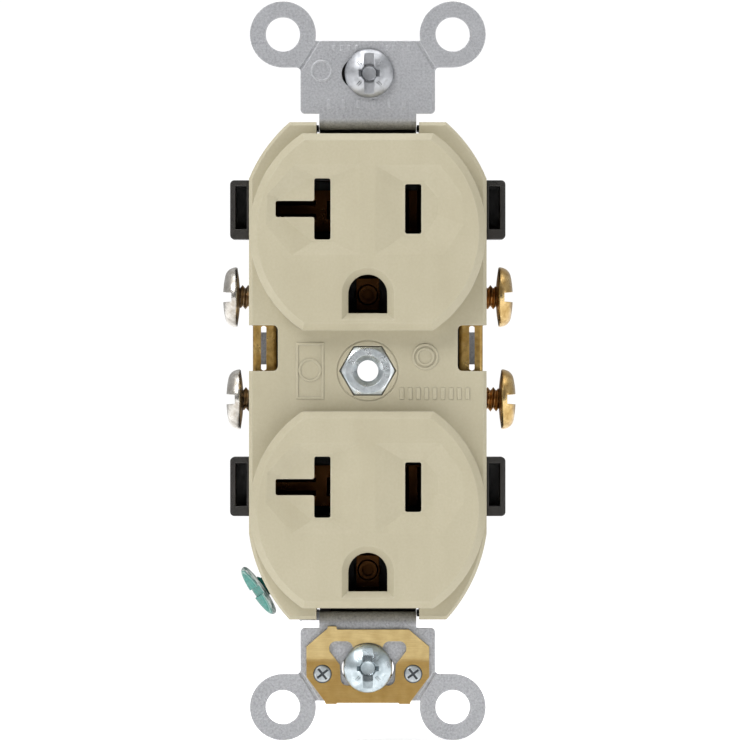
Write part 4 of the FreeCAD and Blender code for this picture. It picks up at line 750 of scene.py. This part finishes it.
bm = bmesh.new()
bmesh.ops.create_grid(bm, x_segments=1, y_segments=1, size=FLOOR_HALF)
floor = mesh_object("floor", bm)
floor.location = (0, 0, CAD_BOX[0].z - FLOOR_GAP)
stage_look = Look("stage_white")
paper = stage_look.band(stage_look.noise(30, 3), 0.3, 0.7)
white_paper = stage_look.mix(paper, (0.90, 0.90, 0.90), (0.93, 0.93, 0.93))
stage_look.feed(stage_look.shader.inputs["Base Color"], white_paper)
stage_look.shader.inputs["Roughness"].default_value = 0.9
stage_look.shader.inputs["Specular IOR Level"].default_value = 0.1
stage_look.shader.inputs["Emission Color"].default_value = (1, 1, 1, 1)
stage_look.shader.inputs["Emission Strength"].default_value = FLOOR_GLOW
floor.data.materials.append(stage_look.material)


def studio_world():
    """White backdrop for the camera, and a tent for light: bright at the sides and above, dim in front."""
    world = bpy.data.worlds.new("studio")
    bpy.context.scene.world = world
    world.use_nodes = True
    tree = world.node_tree
    tree.nodes.clear()
    nodes = tree.nodes
    output = nodes.new("ShaderNodeOutputWorld")
    mix = nodes.new("ShaderNodeMixShader")
    path = nodes.new("ShaderNodeLightPath")
    white = nodes.new("ShaderNodeBackground")
    white.inputs["Color"].default_value = (1, 1, 1, 1)
    white.inputs["Strength"].default_value = BACKDROP_STRENGTH
    tent = nodes.new("ShaderNodeBackground")
    place = nodes.new("ShaderNodeTexCoord")
    split = nodes.new("ShaderNodeSeparateXYZ")
    tree.links.new(place.outputs["Generated"], split.inputs[0])
    shares = []
    for axis, *numbers in TENT_RAMPS:
        ramp = nodes.new("ShaderNodeMapRange")
        ramp.interpolation_type = "SMOOTHSTEP"
        for socket, number in zip(RANGE_SOCKETS, numbers):
            ramp.inputs[socket].default_value = number
        tree.links.new(split.outputs[axis], ramp.inputs["Value"])
        shares.append(ramp.outputs["Result"])
    strength = nodes.new("ShaderNodeMath")
    strength.operation = "MULTIPLY"
    tree.links.new(shares[0], strength.inputs[0])
    tree.links.new(shares[1], strength.inputs[1])
    tree.links.new(strength.outputs[0], tent.inputs["Strength"])
    tree.links.new(path.outputs["Is Camera Ray"], mix.inputs["Fac"])
    tree.links.new(tent.outputs[0], mix.inputs[1])
    tree.links.new(white.outputs[0], mix.inputs[2])
    tree.links.new(mix.outputs[0], output.inputs["Surface"])


def softbox(name, place, width, height, power):
    """Rectangular lamp aimed at the frame's origin."""
    light = bpy.data.lights.new(name, "AREA")
    light.shape = "RECTANGLE"
    light.size = width
    light.size_y = height
    light.energy = power
    lamp = bpy.data.objects.new(name, light)
    bpy.context.scene.collection.objects.link(lamp)
    lamp.location = place
    lamp.rotation_mode = "QUATERNION"
    lamp.rotation_quaternion = (-Vector(place)).to_track_quat("-Z", "Y")


studio_world()
softbox("key_left", (-0.42, -0.58, 0.56), width=0.35, height=0.35, power=4.0)
softbox("fill_right", (0.60, -0.50, 0.05), width=0.30, height=0.50, power=0.8)
softbox("top_strip", (0.0, -0.10, 0.60), width=0.70, height=0.25, power=2.0)

# camera: sensor and focal length, the width in view at y = 0, and the view's middle
SENSOR = 0.036
LENS = 0.6
FRAME_WIDTH = 0.10379
AIM_RIGHT = 0.00031
AIM_UP = 0.00011
camera_data = bpy.data.cameras.new("camera")
camera_data.sensor_width = SENSOR / MM
camera_data.lens = LENS / MM
camera_data.clip_start = 0.1
camera_data.clip_end = 10
camera = bpy.data.objects.new("camera", camera_data)
bpy.context.scene.collection.objects.link(camera)
distance = FRAME_WIDTH * LENS / SENSOR
camera.location = (AIM_RIGHT, -distance, AIM_UP)
camera.rotation_euler = (math.radians(90), 0, 0)
bpy.context.scene.camera = camera
bpy.context.scene.view_settings.view_transform = "Standard"
